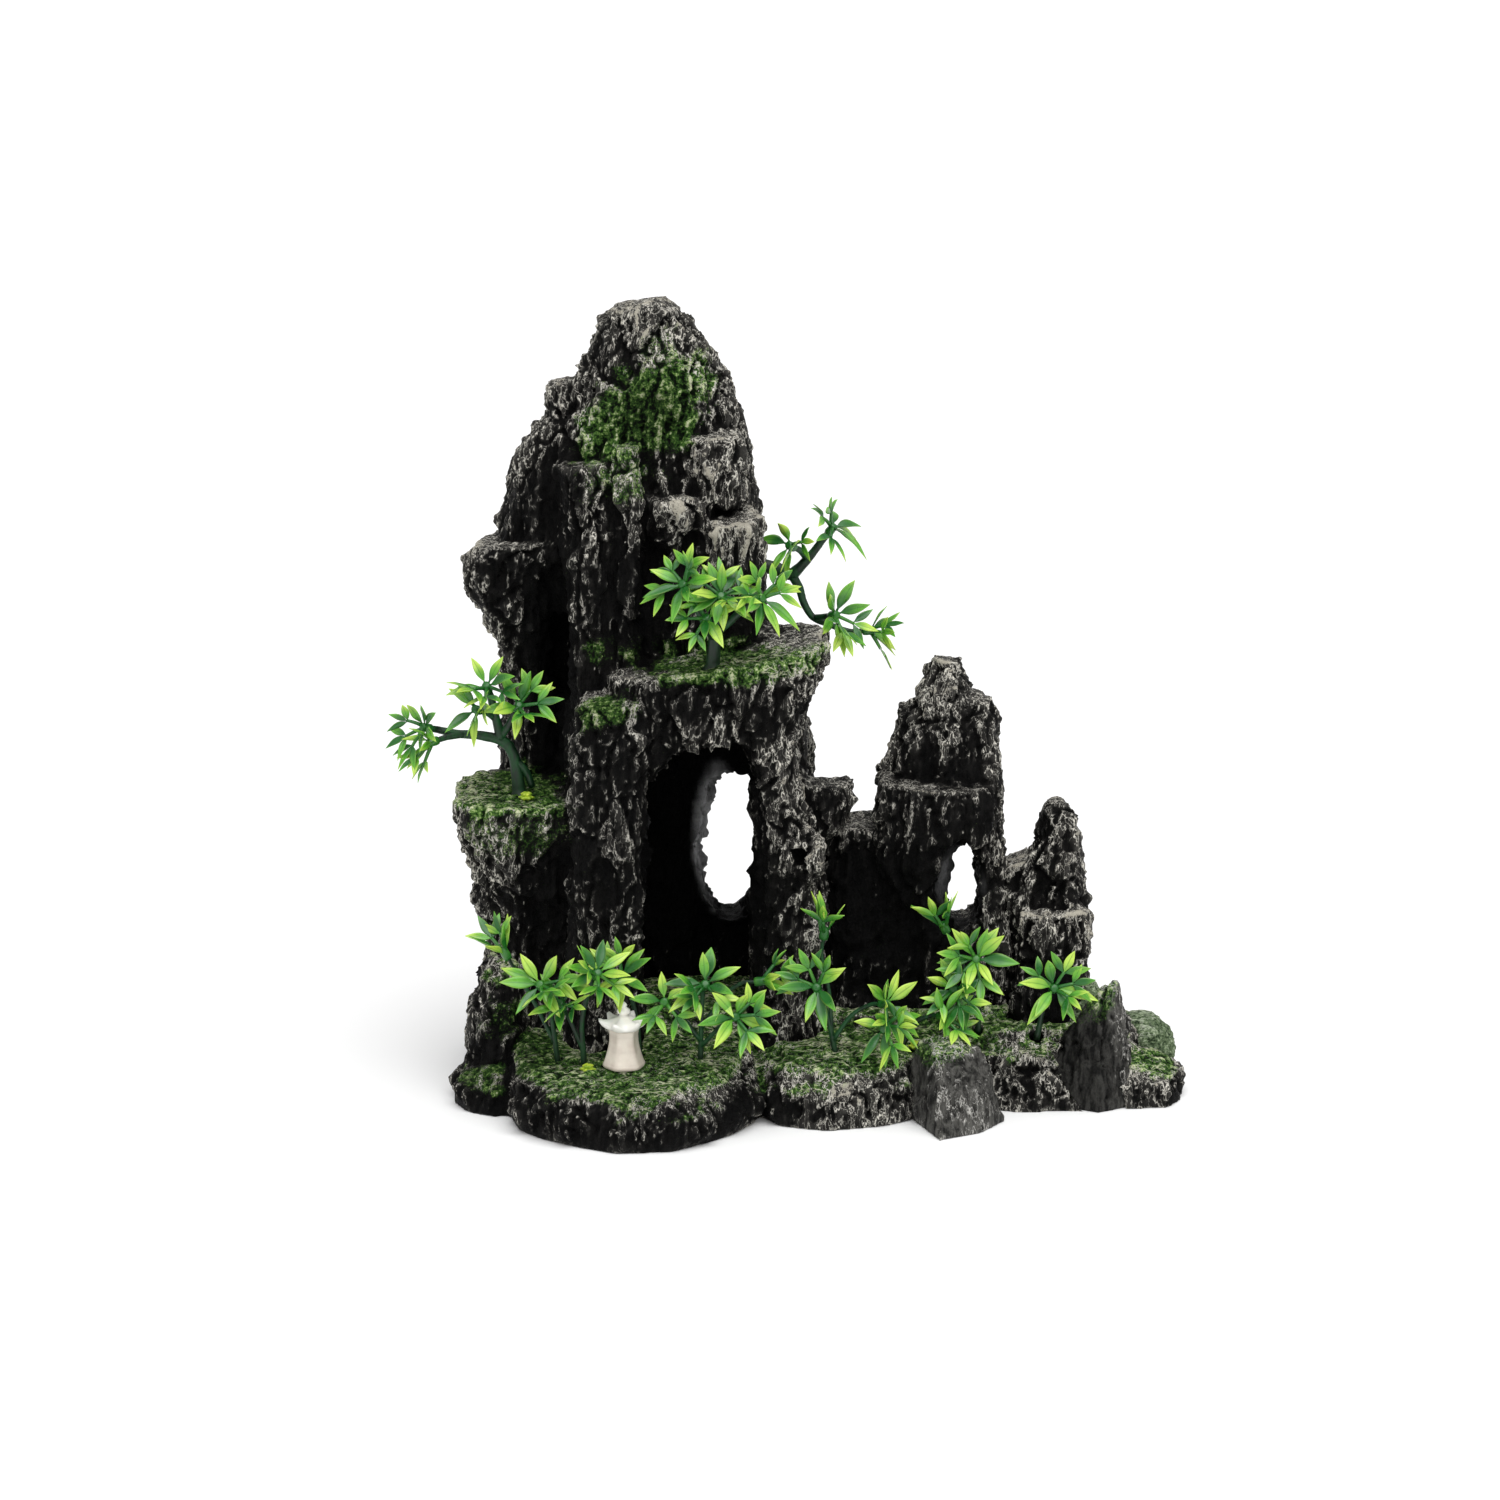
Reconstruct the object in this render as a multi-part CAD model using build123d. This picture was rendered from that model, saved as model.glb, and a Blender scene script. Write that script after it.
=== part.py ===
from build123d import *
import math
import os

# Resin cave ornament for a fish tank: a cast rockery with a cave tower, a windowed side peak and
# loose boulders on one plinth, planted with clip-together plastic trees and sprays, and a small
# lantern. Millimetres, +Z up, +X to the viewer's right, viewer at -Y. The origin is on the flat
# underside, near the middle of the plinth.

# ---------------------------------------------------------------- driving dimensions
HEIGHT = 185.0              # top of the main peak above the underside
SEAT = 11.0                 # the peaks stand this high, in pockets in the plinth
SUMMIT = (-40.0, 18.0)      # x, y of the main peak's top
LOBE_TOP = 14.6             # the plinth's front lobe, where the lantern stands

LEDGE_TOP = 105.5           # planted ledge across the tower, above the cave
SIDE_LEDGE_TOP = 72.0       # planted ledge at the tower's left
SHOULDER_TOP = 129.5        # bare ledge high on the left

MOUTH_TOP = 86.5            # cave mouth: a ragged arch
MOUTH_HALF_WIDTH = 13.0
CHAMBER_HALF_WIDTH = 16.0
BACK_WINDOW = (33.0, 69.5)  # lowest and highest point of the hole in the cave's back wall
SIDE_WINDOW = (35.5, 57.5)  # the same for the hole through the side peak
KNOT_HOLE_R = 2.2           # pit in the knot on the right pillar

ROOT_PEG_R = 1.2            # glued peg under each plant
ROOT_PEG_LENGTH = 4.0
ROOT_SOCKET_R = 1.3         # drilled socket, leaves a 0.1 mm glue line
ROOT_SOCKET_DEPTH = 5.0
TIP_PEG_R = 0.50            # peg at the end of each branch
TIP_PEG_LENGTH = 1.8
HUB_R = 1.05                # collar that carries one spray of leaves
HUB_LENGTH = 2.6
HUB_BORE_R = 0.55
HUB_BORE_DEPTH = 2.0
STALK_LENGTH = 4.2          # of the divided leaves
STALK_WIDTH = 0.9
LEAF_THICKNESS = 0.5
LEAF_WIDTH_RATIO = 0.37     # widest width over length
GOLDEN_TURN = math.radians(137.5)  # from each leaf of a spray to the next

LANTERN_FOOT = (-44.6, -26.8)
LANTERN_HEIGHT = 15.5
LANTERN_BODY_HEIGHT = 9.0
LANTERN_FOOT_R = 4.9
LANTERN_NECK_R = 3.3
LANTERN_EAVES_R = 6.2


# ---------------------------------------------------------------- solids from rings of points
def skin(rings):
    """A closed faceted solid through rings of points, with a fan of triangles over each end."""
    count = len(rings[0])
    triangles = []
    for low, high in zip(rings, rings[1:]):
        for i in range(count):
            j = (i + 1) % count
            triangles.append((low[i], low[j], high[j]))
            triangles.append((low[i], high[j], high[i]))
    for ring in (rings[0], rings[-1]):
        centre = sum(ring, Vector(0, 0, 0)) / count
        for i in range(count):
            triangles.append((centre, ring[i], ring[(i + 1) % count]))
    solid = Solid(Shell([Face(Wire.make_polygon(corners, close=True)) for corners in triangles]))
    return solid if solid.volume > 0 else Solid(Shell([-face for face in solid.faces()]))


def chance(*keys):
    """A repeatable value from -1 to 1 for the given whole numbers."""
    mixed = math.sin(sum(k * f for k, f in zip(keys, (12.9898, 78.233, 37.719)))) * 43758.5453
    return 2.0 * (mixed - math.floor(mixed)) - 1.0


def crag(levels, seed, sides=11, rough=0.12, slope=(0.0, 0.0), square=0.72):
    """A fluted rock. Each level is (z, x, y, half width, half depth); the top one may slope."""
    rings = []
    for k, (z, x, y, half_x, half_y) in enumerate(levels):
        ring = []
        for i in range(sides):
            angle = 2 * math.pi * (i + 0.5 * (seed % 3)) / sides
            swell = 1 + rough * (0.7 * chance(seed, i, 1) + 0.3 * chance(seed, i, k + 2))
            c = math.copysign(abs(math.cos(angle)) ** square, math.cos(angle))
            s = math.copysign(abs(math.sin(angle)) ** square, math.sin(angle))
            dx, dy = half_x * swell * c, half_y * swell * s
            rise = slope[0] * dx + slope[1] * dy if k == len(levels) - 1 else 0.0
            ring.append(Vector(x + dx, y + dy, z + rise))
        rings.append(ring)
    return skin(rings)


def one_rock(pieces):
    """Several crags grown into one casting."""
    return pieces[0].fuse(*pieces[1:]) if len(pieces) > 1 else pieces[0]


def biggest(shape):
    """The shape's largest solid, without the crumbs that a cut may leave."""
    return max(shape.solids(), key=lambda solid: solid.volume)


# ---------------------------------------------------------------- rock castings
def plinth_blank():
    left_lobe = crag(
        [(0, -42, -14, 29, 33.5), (6, -42, -14, 30, 34), (11, -43, -13, 28, 31),
         (LOBE_TOP, -43, -12, 26, 28.5)], 11, sides=19, rough=0.07, slope=(0.02, 0.08), square=0.85)
    left_foot = crag(
        [(0, -72, -6, 13.5, 17), (5, -72, -6, 13, 16), (9, -71, -4, 10.5, 12)], 12)
    left_rim = crag(
        [(0, -74, 4, 9, 17), (12, -74.5, 3, 7, 15), (20, -75, 3, 7, 13), (27, -73.5, 4, 6.5, 10),
         (32, -71.5, 5, 5, 7)], 13)
    middle = crag(
        [(0, 6, -4, 26, 28), (7, 6, -4, 26, 27.5), (12, 7, -2, 24, 24), (16, 8, 2, 22, 19)],
        14, sides=15, slope=(0.0, 0.06), square=0.85)
    right_shelf = crag(
        [(0, 52, 4, 33, 23), (6, 52, 5, 32, 22), (11, 50, 6, 29, 20), (17, 47, 8, 25, 16)],
        15, sides=15, square=0.8)
    right_toe = crag(
        [(0, 76, -5, 11, 12), (6, 75, -4, 10.5, 11), (11, 72, -3, 8, 9)], 17, slope=(-0.3, 0.1))
    back_slab = crag(
        [(0, -10, 19, 73, 26), (8, -10, 19, 73, 26), (15, -10, 19, 70, 24), (19, -10, 19, 67, 21)],
        16, sides=21, rough=0.05, square=0.55)
    return one_rock([back_slab, left_lobe, left_foot, left_rim, middle, right_shelf, right_toe])


def tower_crags():
    """The upper half of the main peak, from the planted ledge to the summit."""
    spire = crag(
        [(80, -34, 19, 20, 18), (115, -35, 19, 20, 17), (131, -36.5, 19, 21, 16),
         (146, -39.5, 19, 23, 15.5), (153, -40, 19, 22, 15), (160, -39, 19, 19.5, 14),
         (168, -38.5, 19, 16, 12), (176, -39.5, 18, 12, 9.5), (182, *SUMMIT, 9, 7),
         (HEIGHT - 0.6, *SUMMIT, 5.5, 4.5)], 21, sides=17, rough=0.09, slope=(0.08, 0.02))
    left_flank = crag(
        [(112, -60, 22, 12, 11), (131, -60.5, 20, 14.5, 13), (139, -59, 20, 13.5, 12),
         (147, -58, 20, 13, 11), (155, -55, 20, 11, 10), (163, -52, 20, 8, 8),
         (167, -51, 20, 5, 5)], 22)
    left_knob = crag(
        [(154, -57, 19, 6, 6), (161, -58.5, 19, 4.5, 5), (166, -59.5, 19, 2.4, 3)], 23, sides=8)
    recess_back = crag([(60, -62, 29, 13, 7), (95, -62, 29, 12, 7), (124, -62, 28, 12, 7)], 48)
    fin = crag(
        [(56, -64, 24, 6.5, 9), (85, -66.5, 22, 5.5, 11), (102, -69, 20, 5.5, 11),
         (112, -70.5, 18, 7, 12), (119, -72, 17, 9.5, 13), (124, -71, 17, 12, 13.5),
         (SHOULDER_TOP, -67, 17, 12, 13)], 24, sides=12, rough=0.08, slope=(0.08, 0.0))
    front_rib = crag(
        [(86, -50, 6, 8, 10), (105, -51, 6, 6.5, 9), (120, -51, 6, 6.5, 9), (133, -51.5, 6, 7, 9.5),
         (144, -53, 8, 8, 9.5), (149, -54, 9, 7.5, 8)], 25, sides=10, rough=0.14, slope=(0.12, 0.1))
    inner_rib = crag(
        [(96, -44, 5, 4, 8), (118, -44.5, 5, 3.5, 8), (141, -44, 5, 4.5, 9), (153, -44, 8, 4, 7)],
        26, sides=9, rough=0.16)
    brow = crag(
        [(128, -33, 9, 5, 6), (137, -33, 6, 9.5, 8), (143, -33, 6, 10.5, 8)],
        27, slope=(0.05, 0.35))
    upper_step = crag(
        [(139, -25, 11, 8, 10), (150, -25, 9.5, 8.5, 9.5), (155.5, -26, 9.5, 8, 8.5)],
        28, sides=9, slope=(0.0, 0.12))
    right_block = crag(
        [(103, -20, 8, 6, 9), (122, -20.5, 7, 6.5, 9.5), (137, -21, 6.5, 7.3, 9.5)],
        29, sides=10, slope=(0.02, 0.2))
    right_flank = crag(
        [(100, -20, 20, 7, 12), (130, -19.2, 20, 6.5, 12), (150, -21.8, 20, 6.3, 11),
         (160, -23.6, 20, 5.8, 10), (168, -26, 20, 5, 8), (174, -30, 19, 4, 6)], 30, sides=10)
    return [spire, left_flank, left_knob, recess_back, fin, front_rib, inner_rib, brow,
            upper_step, right_block, right_flank]


def cave_crags():
    """The lower half of the main peak: pillars, walls and the two planted ledges."""
    mid_ledge = crag(
        [(76, -27, 4, 20, 17), (90, -25.5, 1, 21.5, 16), (98, -23.5, 0, 24, 16.5),
         (LEDGE_TOP, -23, 0.5, 25, 16)], 31, sides=19, rough=0.07, slope=(0.16, 0.1),
        square=0.7)
    ledge_end = crag(
        [(84, -9, 7, 5, 9), (94, -7.5, 6, 6, 10), (102, -5.5, 5, 7.5, 10.5), (108.5, -5.5, 5, 7.6, 10)],
        32, sides=10, slope=(0.04, 0.06))
    left_pillar = crag(
        [(SEAT, -49, -7, 9.5, 11), (40, -48.5, -7, 8.5, 11), (70, -48.5, -7, 8.5, 10.5),
         (88, -47.5, -7, 9, 10), (97, -46, -6, 8.5, 9.5)], 33, sides=13, rough=0.11,
        slope=(0.1, 0.12), square=0.6)
    left_ledge = crag(
        [(36, -63, 8, 12, 11), (46, -64.5, 6, 14, 12.5), (56, -66, 4.5, 15.5, 14.5),
         (66, -67.5, 4, 16.8, 15.5), (SIDE_LEDGE_TOP, -68, 4.5, 16.5, 15)], 34, sides=15,
        rough=0.08, slope=(0.02, 0.1), square=0.8)
    left_root = crag(
        [(SEAT, -64, 10, 15, 13), (24, -65, 9, 13, 12), (34, -65, 8, 12, 10.5),
         (42, -65, 8, 12, 10)], 35)
    lump = crag([(38, -75, 4, 4, 5), (45, -76.5, 4, 5.5, 5.5), (50, -75, 4, 4, 4)], 36, sides=8)
    right_pillar = crag(
        [(SEAT, -6.5, 6, 9, 18), (36, -6.5, 6, 8.5, 17), (60, -7, 6, 7.5, 17), (74, -9.5, 5, 6.5, 16),
         (88, -10, 4, 6.5, 16)], 37, sides=15, rough=0.11, square=0.6)
    back_wall = crag(
        [(SEAT, -30, 33, 33, 8), (50, -30, 33, 31, 8), (80, -31, 32, 29, 9), (96, -33, 30, 26, 9)],
        38, sides=19, rough=0.08, square=0.55)
    left_wall = crag(
        [(SEAT, -52, 14, 10, 20), (60, -52, 14, 9, 19), (92, -51, 14, 9, 18)], 39, rough=0.08)
    spur = crag(
        [(56, -2, 5, 4, 5), (64, 0, 5, 7, 5.5), (69, 1.5, 5, 7.5, 5.5), (73, 1, 5, 7, 5)],
        40, sides=9)
    knot = crag(
        [(53, -4, -8, 3.4, 4), (57.5, -4, -9.4, 5, 4.6), (62.5, -4, -9.4, 4.8, 4.4), (66.5, -4, -8, 3, 3.4)],
        44, sides=9, rough=0.12)
    return [back_wall, left_wall, right_pillar, left_pillar, left_root, left_ledge, lump,
            mid_ledge, ledge_end, spur, knot]


def main_peak():
    wide = MOUTH_HALF_WIDTH
    mouth = crag(
        [(5, -28, -5, wide, 31), (35, -28, -5, wide, 31), (49, -27, -5, wide, 31),
         (75, -26.8, -5, wide, 31), (82, -24.6, -5, 0.76 * wide, 31),
         (MOUTH_TOP, -22.4, -5, 0.4 * wide, 31)], 41, sides=12, rough=0.06, square=0.45)
    room = CHAMBER_HALF_WIDTH
    chamber = crag(
        [(5, -27, 9, room, 17), (60, -27, 9, room, 17), (74, -27, 9, 0.8 * room, 14),
         (82, -27, 8, 0.4 * room, 9)], 42, rough=0.05)
    sill, head = BACK_WINDOW
    back_window = crag(
        [(sill, -20, 36, 2, 14), (sill + 6, -19.8, 36, 6, 14), (sill + 15, -19.6, 36, 7.8, 14),
         (head - 10, -19.4, 36, 7.8, 14), (head - 3, -19, 36, 6.8, 14), (head, -18.6, 36, 5, 14)],
        43, sides=10, rough=0.04, square=0.5)
    knot_hole = Location((-4, -14, 60), (90, 0, 0)) * Cylinder(KNOT_HOLE_R, 9)
    return biggest(one_rock(cave_crags() + tower_crags()) - mouth - chamber - back_window - knot_hole)


def window_peak():
    spire = crag(
        [(46, 26, 14, 13, 12), (62, 26.5, 14, 12.5, 12), (70, 27.5, 14, 12, 11.5),
         (78, 27.5, 14, 10.2, 10.5), (85, 28.6, 14, 8.4, 9.5), (91, 29.5, 14, 6, 8),
         (97, 30, 14, 4.2, 6), (101, 29.8, 14, 2.4, 3.5)], 51, sides=13)
    right_crag = crag(
        [(46, 38, 13, 7, 10), (65, 37.2, 13, 5.6, 9), (80, 37.4, 13, 4.8, 8), (88, 37.6, 13, 4, 7),
         (92, 36.8, 13, 3, 5)], 52, sides=9)
    ledge = crag(
        [(44, 28, 6, 12, 8), (60, 28, 6, 13, 9), (68, 28, 6, 13.5, 9.5), (73.5, 28, 6.5, 13, 9)],
        53, sides=13, slope=(-0.05, 0.1))
    wall = crag(
        [(SEAT, 24, 14, 25, 14), (30, 24, 14, 24, 13), (45, 24, 14, 24, 12), (53, 22, 14, 21, 11),
         (61.5, 19, 14, 17, 9)], 54, sides=19, rough=0.08, square=0.6)
    sill, head = SIDE_WINDOW
    window = crag(
        [(sill, 34.8, 10, 2.2, 30), (sill + 4, 34.9, 10, 4.4, 30), (sill + 11, 35, 10, 4.7, 30),
         (head - 4, 35.6, 10, 3.8, 30), (head, 36.2, 10, 1.6, 30)], 55, sides=9, rough=0.04,
        square=0.5)
    hood = crag(
        [(sill - 1, 34, -3, 2.5, 12), (sill + 4, 33.5, -3, 5.6, 12), (sill + 12, 33.3, -3, 6.4, 12),
         (head - 2, 34, -3, 5.4, 12), (head + 2.5, 35, -3, 2.5, 12)], 56, sides=10, rough=0.06)
    return biggest(one_rock([wall, spire, right_crag, ledge]) - window - hood)


def side_peak():
    crest = crag(
        [(SEAT, 55.5, 12, 10.5, 13), (30, 55.3, 12, 9.5, 11.5), (44, 55, 11, 9, 10.5),
         (50, 55.8, 11, 7.4, 8.5), (58, 57, 11, 5, 6.5), (64, 57.6, 11, 3.9, 5),
         (67.5, 56.8, 11, 1.9, 2.6)], 61, sides=12)
    saddle = crag(
        [(SEAT, 47.5, 14, 5, 9), (44, 48, 13, 5, 8), (52.5, 48.5, 13, 4.4, 6.5)], 63, sides=9,
        slope=(0.25, 0.0))
    step = crag(
        [(SEAT, 55.5, 4, 9.5, 9), (30, 55.5, 4, 9, 8), (43, 55.5, 4.5, 8.5, 7.5)], 62, sides=10,
        slope=(0.02, 0.1))
    return one_rock([crest, step, saddle])


def angular(levels):
    """A block with sharp corners: (height, its (x, y) corners) from the foot up."""
    return skin([[Vector(x, y, z) for x, y in corners] for z, corners in levels])


def front_boulder():
    return angular([
        (0, ((20, -21), (27.6, -39.6), (37.5, -34.5), (43.5, -26), (41, -18), (25, -16))),
        (6, ((20, -21), (27.4, -37.4), (37, -33), (42.4, -25.6), (40, -18.4), (25, -16.4))),
        (13, ((20.4, -21.6), (26.6, -33.6), (35.6, -30.4), (40, -24.8), (37.4, -19), (25, -17.4))),
        (17.5, ((22, -22.6), (27, -29.6), (33.4, -28), (36.4, -24), (34.4, -20.4), (26, -19))),
        (19.4, ((25, -23.6), (28, -26.4), (31.4, -25.8), (32.6, -24), (31.4, -22), (27, -21.6))),
    ])


def cone_rock():
    return angular([
        (0, ((53.5, -14), (59, -17.4), (65.4, -20.6), (72, -17), (74.6, -10), (66, -5.6), (55, -8))),
        (8, ((54.5, -13.6), (60, -16.2), (65.6, -19), (71.8, -15.8), (74, -9.8), (66, -6), (56, -8.4))),
        (15, ((58, -13), (61.6, -14.6), (66, -16.6), (71.6, -14.4), (73.2, -9.4), (66, -6.8), (59, -9))),
        (21, ((62.4, -12.4), (64.4, -13.4), (67, -14.4), (71.6, -13), (72.6, -9.2), (68, -7.4),
              (63.6, -9.4))),
        (26.5, ((66.4, -11.6), (67.4, -12.2), (69, -12.6), (71, -11.8), (71.4, -9.8), (69, -8.6),
                (67, -9.8))),
        (29.5, ((68.6, -11), (69, -11.3), (69.6, -11.4), (70.3, -11.1), (70.4, -10.4), (69.8, -10),
                (69, -10.3))),
    ])


def left_moss_boulder():
    return crag(
        [(7, 64, 2, 6.6, 7), (17, 64, 2, 6.4, 6.8), (22, 63.6, 2, 5, 5.2), (25, 63.4, 2, 2.6, 2.6)],
        73, rough=0.05, square=0.9)


def right_moss_boulder():
    return crag(
        [(0, 78.6, 8, 7, 8.4), (7, 79, 8, 7.6, 8.8), (11.5, 78.6, 8, 6.4, 7.2), (15, 77.8, 8, 3.4, 4)],
        74, rough=0.05, square=0.9)


# Later castings are let into earlier ones, so each is cut by those after it in this list.
ROCKS = [
    ("base_plinth", plinth_blank),
    ("window_peak", window_peak),
    ("side_peak", side_peak),
    ("left_moss_boulder", left_moss_boulder),
    ("right_moss_boulder", right_moss_boulder),
    ("main_peak", main_peak),
    ("front_boulder", front_boulder),
    ("cone_rock", cone_rock),
]


def fitted_rocks():
    blanks = [(name, make()) for name, make in ROCKS]
    rocks = {}
    for k, (name, blank) in enumerate(blanks):
        box = blank.bounding_box()
        near = [other for _, other in blanks[k + 1:] if boxes_meet(box, other.bounding_box())]
        rocks[name] = biggest(blank.cut(*near)) if near else blank
    return rocks


def boxes_meet(a, b):
    lows, highs = zip(tuple(a.min), tuple(b.min)), zip(tuple(a.max), tuple(b.max))
    return all(max(low) <= min(high) for low, high in zip(lows, highs))


# ---------------------------------------------------------------- plants
# Each plant: the rock it stands on, then its limbs. A limb is a list of (x, y, z, radius); the
# first one starts at the root. A limb with a spray ends in a peg: the spray is
# (rays, spread from the limb in degrees, leaf length, droop).
PLANTS = {
    "left_tree": ("main_peak", [
        ([(-69.5, 1, 72, 1.6), (-70, 1, 77, 1.4), (-70.8, 1, 81, 1.3), (-73, 1, 84, 1.25),
          (-78, 1, 85.4, 1.1), (-84, 0.6, 86, 0.95), (-87.8, 0, 87, 0.85), (-89.8, -1.8, 87.8, 0.75)],
         (8, 80, 6.8, 0.03)),
        ([(-82, 0.8, 85.8, 0.85), (-86, -1.4, 85.6, 0.75), (-88.2, -3, 85.2, 0.65)], (6, 56, 6.2, 0.02)),
        ([(-73.6, 1, 84.4, 1.2), (-74.8, 1, 90, 1.0), (-75.8, 0.4, 95, 0.85), (-76.2, -1, 96.6, 0.7)],
         (7, 78, 7.6, 0.015)),
        ([(-75, 1, 89.6, 0.85), (-76.8, -0.6, 91.4, 0.75), (-78, -2.4, 92.2, 0.65)],
         (6, 70, 7.0, 0.02)),
        ([(-73.4, 1, 85.4, 0.9), (-71.4, 0.4, 88.6, 0.85), (-70.2, -0.6, 91.4, 0.75),
          (-69.6, -2.2, 92.6, 0.65)], (8, 78, 7.8, 0.01)),
        ([(-70.9, 1, 80, 1.1), (-68, 1, 77, 0.95), (-66.4, 1, 73, 0.8)], None),
    ]),
    "centre_bush": ("main_peak", [
        ([(-24, -9.6, 106, 1.7), (-23.8, -9.6, 110, 1.5), (-23.4, -9.8, 115, 1.3),
          (-22.6, -11.4, 119.4, 1.0), (-22.3, -13.6, 121.6, 0.85)], (17, 98, 7.4, 0.01)),
        ([(-23.8, -9.7, 112, 1.0), (-27, -10.4, 118, 0.85), (-29, -11.8, 122.6, 0.75),
          (-30, -13.6, 124.4, 0.7)], (10, 84, 7.2, 0.02)),
        ([(-23.5, -9.8, 113, 1.0), (-18.6, -10.6, 117.6, 0.85), (-15.4, -12, 120.6, 0.75),
          (-14, -13.6, 121.6, 0.7)], (10, 84, 7.4, 0.03)),
        ([(-23.7, -9.7, 111.6, 0.9), (-24.8, -12.4, 115, 0.8), (-25.2, -14.8, 117, 0.7)],
         (8, 80, 6.8, 0.02)),
    ]),
    "back_tree": ("main_peak", [
        ([(-13.4, 21, 121.6, 1.7), (-10.5, 21, 121, 1.6), (-7.5, 20.5, 119.8, 1.5),
          (-5.6, 20, 121, 1.3), (-2.4, 20, 124.6, 1.0), (0.4, 19.6, 128.4, 0.85),
          (1.6, 19, 130, 0.75)], (8, 88, 7.6, 0.05)),
        ([(-7.2, 20.6, 120, 1.2), (-5.2, 20, 116.6, 1.05), (-4.2, 19, 113.4, 0.95),
          (-2, 18, 110, 0.85), (1.6, 17.6, 108.4, 0.75), (6.4, 17.2, 106.8, 0.7),
          (10, 16.6, 107, 0.65)], (7, 58, 6.6, 0.02)),
        ([(-3.4, 20, 123.6, 0.9), (-5, 17.6, 126, 0.8), (-6.6, 15.4, 127.2, 0.7)],
         (6, 78, 7.0, 0.04)),
        ([(-1.6, 18, 109.8, 0.85), (0.6, 15.6, 110.6, 0.75), (2.2, 13.2, 111.4, 0.65)],
         (9, 80, 7.6, 0.01)),
    ]),
    "far_left_spray": ("base_plinth", [
        ([(-60.5, -21, 16, 1.1), (-61.5, -21, 24, 0.9), (-62.8, -21.6, 32, 0.8),
          (-63.6, -25, 34.4, 0.7)], (9, 84, 7.7, 0.01)),
        ([(-60.8, -21, 19, 0.85), (-65.6, -20.4, 29, 0.75), (-69.4, -20.4, 36, 0.7),
          (-71.6, -21.4, 40.4, 0.65)], (6, 42, 7.3, 0.0)),
    ]),
    "left_spray": ("base_plinth", [
        ([(-54, -24, 16, 1.1), (-54.4, -24, 26, 0.9), (-52.2, -24, 35, 0.8), (-51, -27, 37.8, 0.7)],
         (9, 82, 7.5, 0.01)),
        ([(-54.1, -24, 19, 0.85), (-57.4, -24.4, 27, 0.75), (-58.6, -27.4, 30.4, 0.7)],
         (7, 76, 6.9, 0.01)),
    ]),
    "lantern_spray": ("base_plinth", [
        ([(-41.4, -19, 16, 1.1), (-42, -18.6, 24, 0.9), (-44, -18.6, 32, 0.8), (-45, -21, 34.4, 0.7)],
         (8, 86, 7.3, 0.012)),
    ]),
    "cave_mouth_spray": ("base_plinth", [
        ([(-27, -22, 16, 1.1), (-26.8, -21.6, 25, 0.9), (-26.4, -22.2, 32, 0.8), (-26, -25.6, 34.2, 0.7)],
         (9, 86, 7.7, 0.02)),
        ([(-27, -22, 20, 0.9), (-31.4, -22.4, 26, 0.8), (-34.2, -24, 29.4, 0.75),
          (-34.8, -27.2, 30.8, 0.7)], (6, 84, 6.6, 0.02)),
        ([(-26.9, -22, 18.6, 0.9), (-22.8, -23.6, 23.6, 0.8), (-20.2, -26.4, 27, 0.75),
          (-19.4, -29.2, 28, 0.7)], (9, 86, 7.7, 0.02)),
        ([(-26.7, -21.8, 23, 0.9), (-21.8, -21.4, 30.4, 0.75), (-17.6, -21.8, 33.8, 0.7),
          (-14.2, -22.6, 34.4, 0.65)], (6, 56, 6.5, 0.0)),
    ]),
    "pillar_spray": ("base_plinth", [
        ([(4, -18, 15, 1.1), (2.6, -17.8, 22, 0.9), (0.6, -18.6, 28.6, 0.8), (0, -22, 30.6, 0.7)],
         (8, 84, 7.7, 0.01)),
        ([(3.4, -18, 18, 0.85), (2.8, -17, 28, 0.75), (1, -17, 37, 0.7), (1.4, -17.6, 41.6, 0.65)],
         (4, 30, 7.3, 0.0)),
        ([(3.8, -18, 17, 0.9), (8, -18, 23, 0.8), (12.2, -19.4, 26, 0.75), (14.6, -22, 27, 0.65)],
         (8, 78, 7.7, 0.01)),
    ]),
    "middle_spray": ("base_plinth", [
        ([(20, -15, 15, 1.1), (22.6, -15, 19.8, 0.9), (26.2, -16, 22, 0.8), (28, -18, 22.6, 0.7)],
         (7, 80, 6.7, 0.01)),
        ([(19.8, -15, 17, 0.85), (17, -18.4, 20.4, 0.75), (15.6, -21.4, 21.8, 0.7),
          (15.2, -24.2, 22, 0.65)], (7, 80, 6.9, 0.03)),
    ]),
    "window_spray": ("base_plinth", [
        ([(38, -7, 16, 1.1), (38, -6.8, 25, 0.9), (37.2, -7.6, 31, 0.8), (37, -11, 33, 0.7)],
         (12, 88, 7.7, 0.01)),
        ([(37.8, -7, 19.5, 0.85), (35, -6.8, 29, 0.75), (31.8, -7.4, 36, 0.7), (30.2, -8.2, 39.4, 0.65)],
         (4, 30, 7.5, 0.0)),
        ([(37.9, -7, 18.6, 0.85), (35.4, -9, 23.4, 0.75), (33, -11.6, 26.4, 0.7),
          (32.2, -14.2, 27.2, 0.65)], (8, 84, 6.9, 0.02)),
    ]),
    "right_spray": ("base_plinth", [
        ([(51.5, -9, 14, 1.1), (52.6, -9.4, 20, 0.9), (53.8, -11, 24, 0.8), (54.2, -14, 25.4, 0.7)],
         (10, 88, 7.7, 0.02)),
    ]),
}


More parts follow.
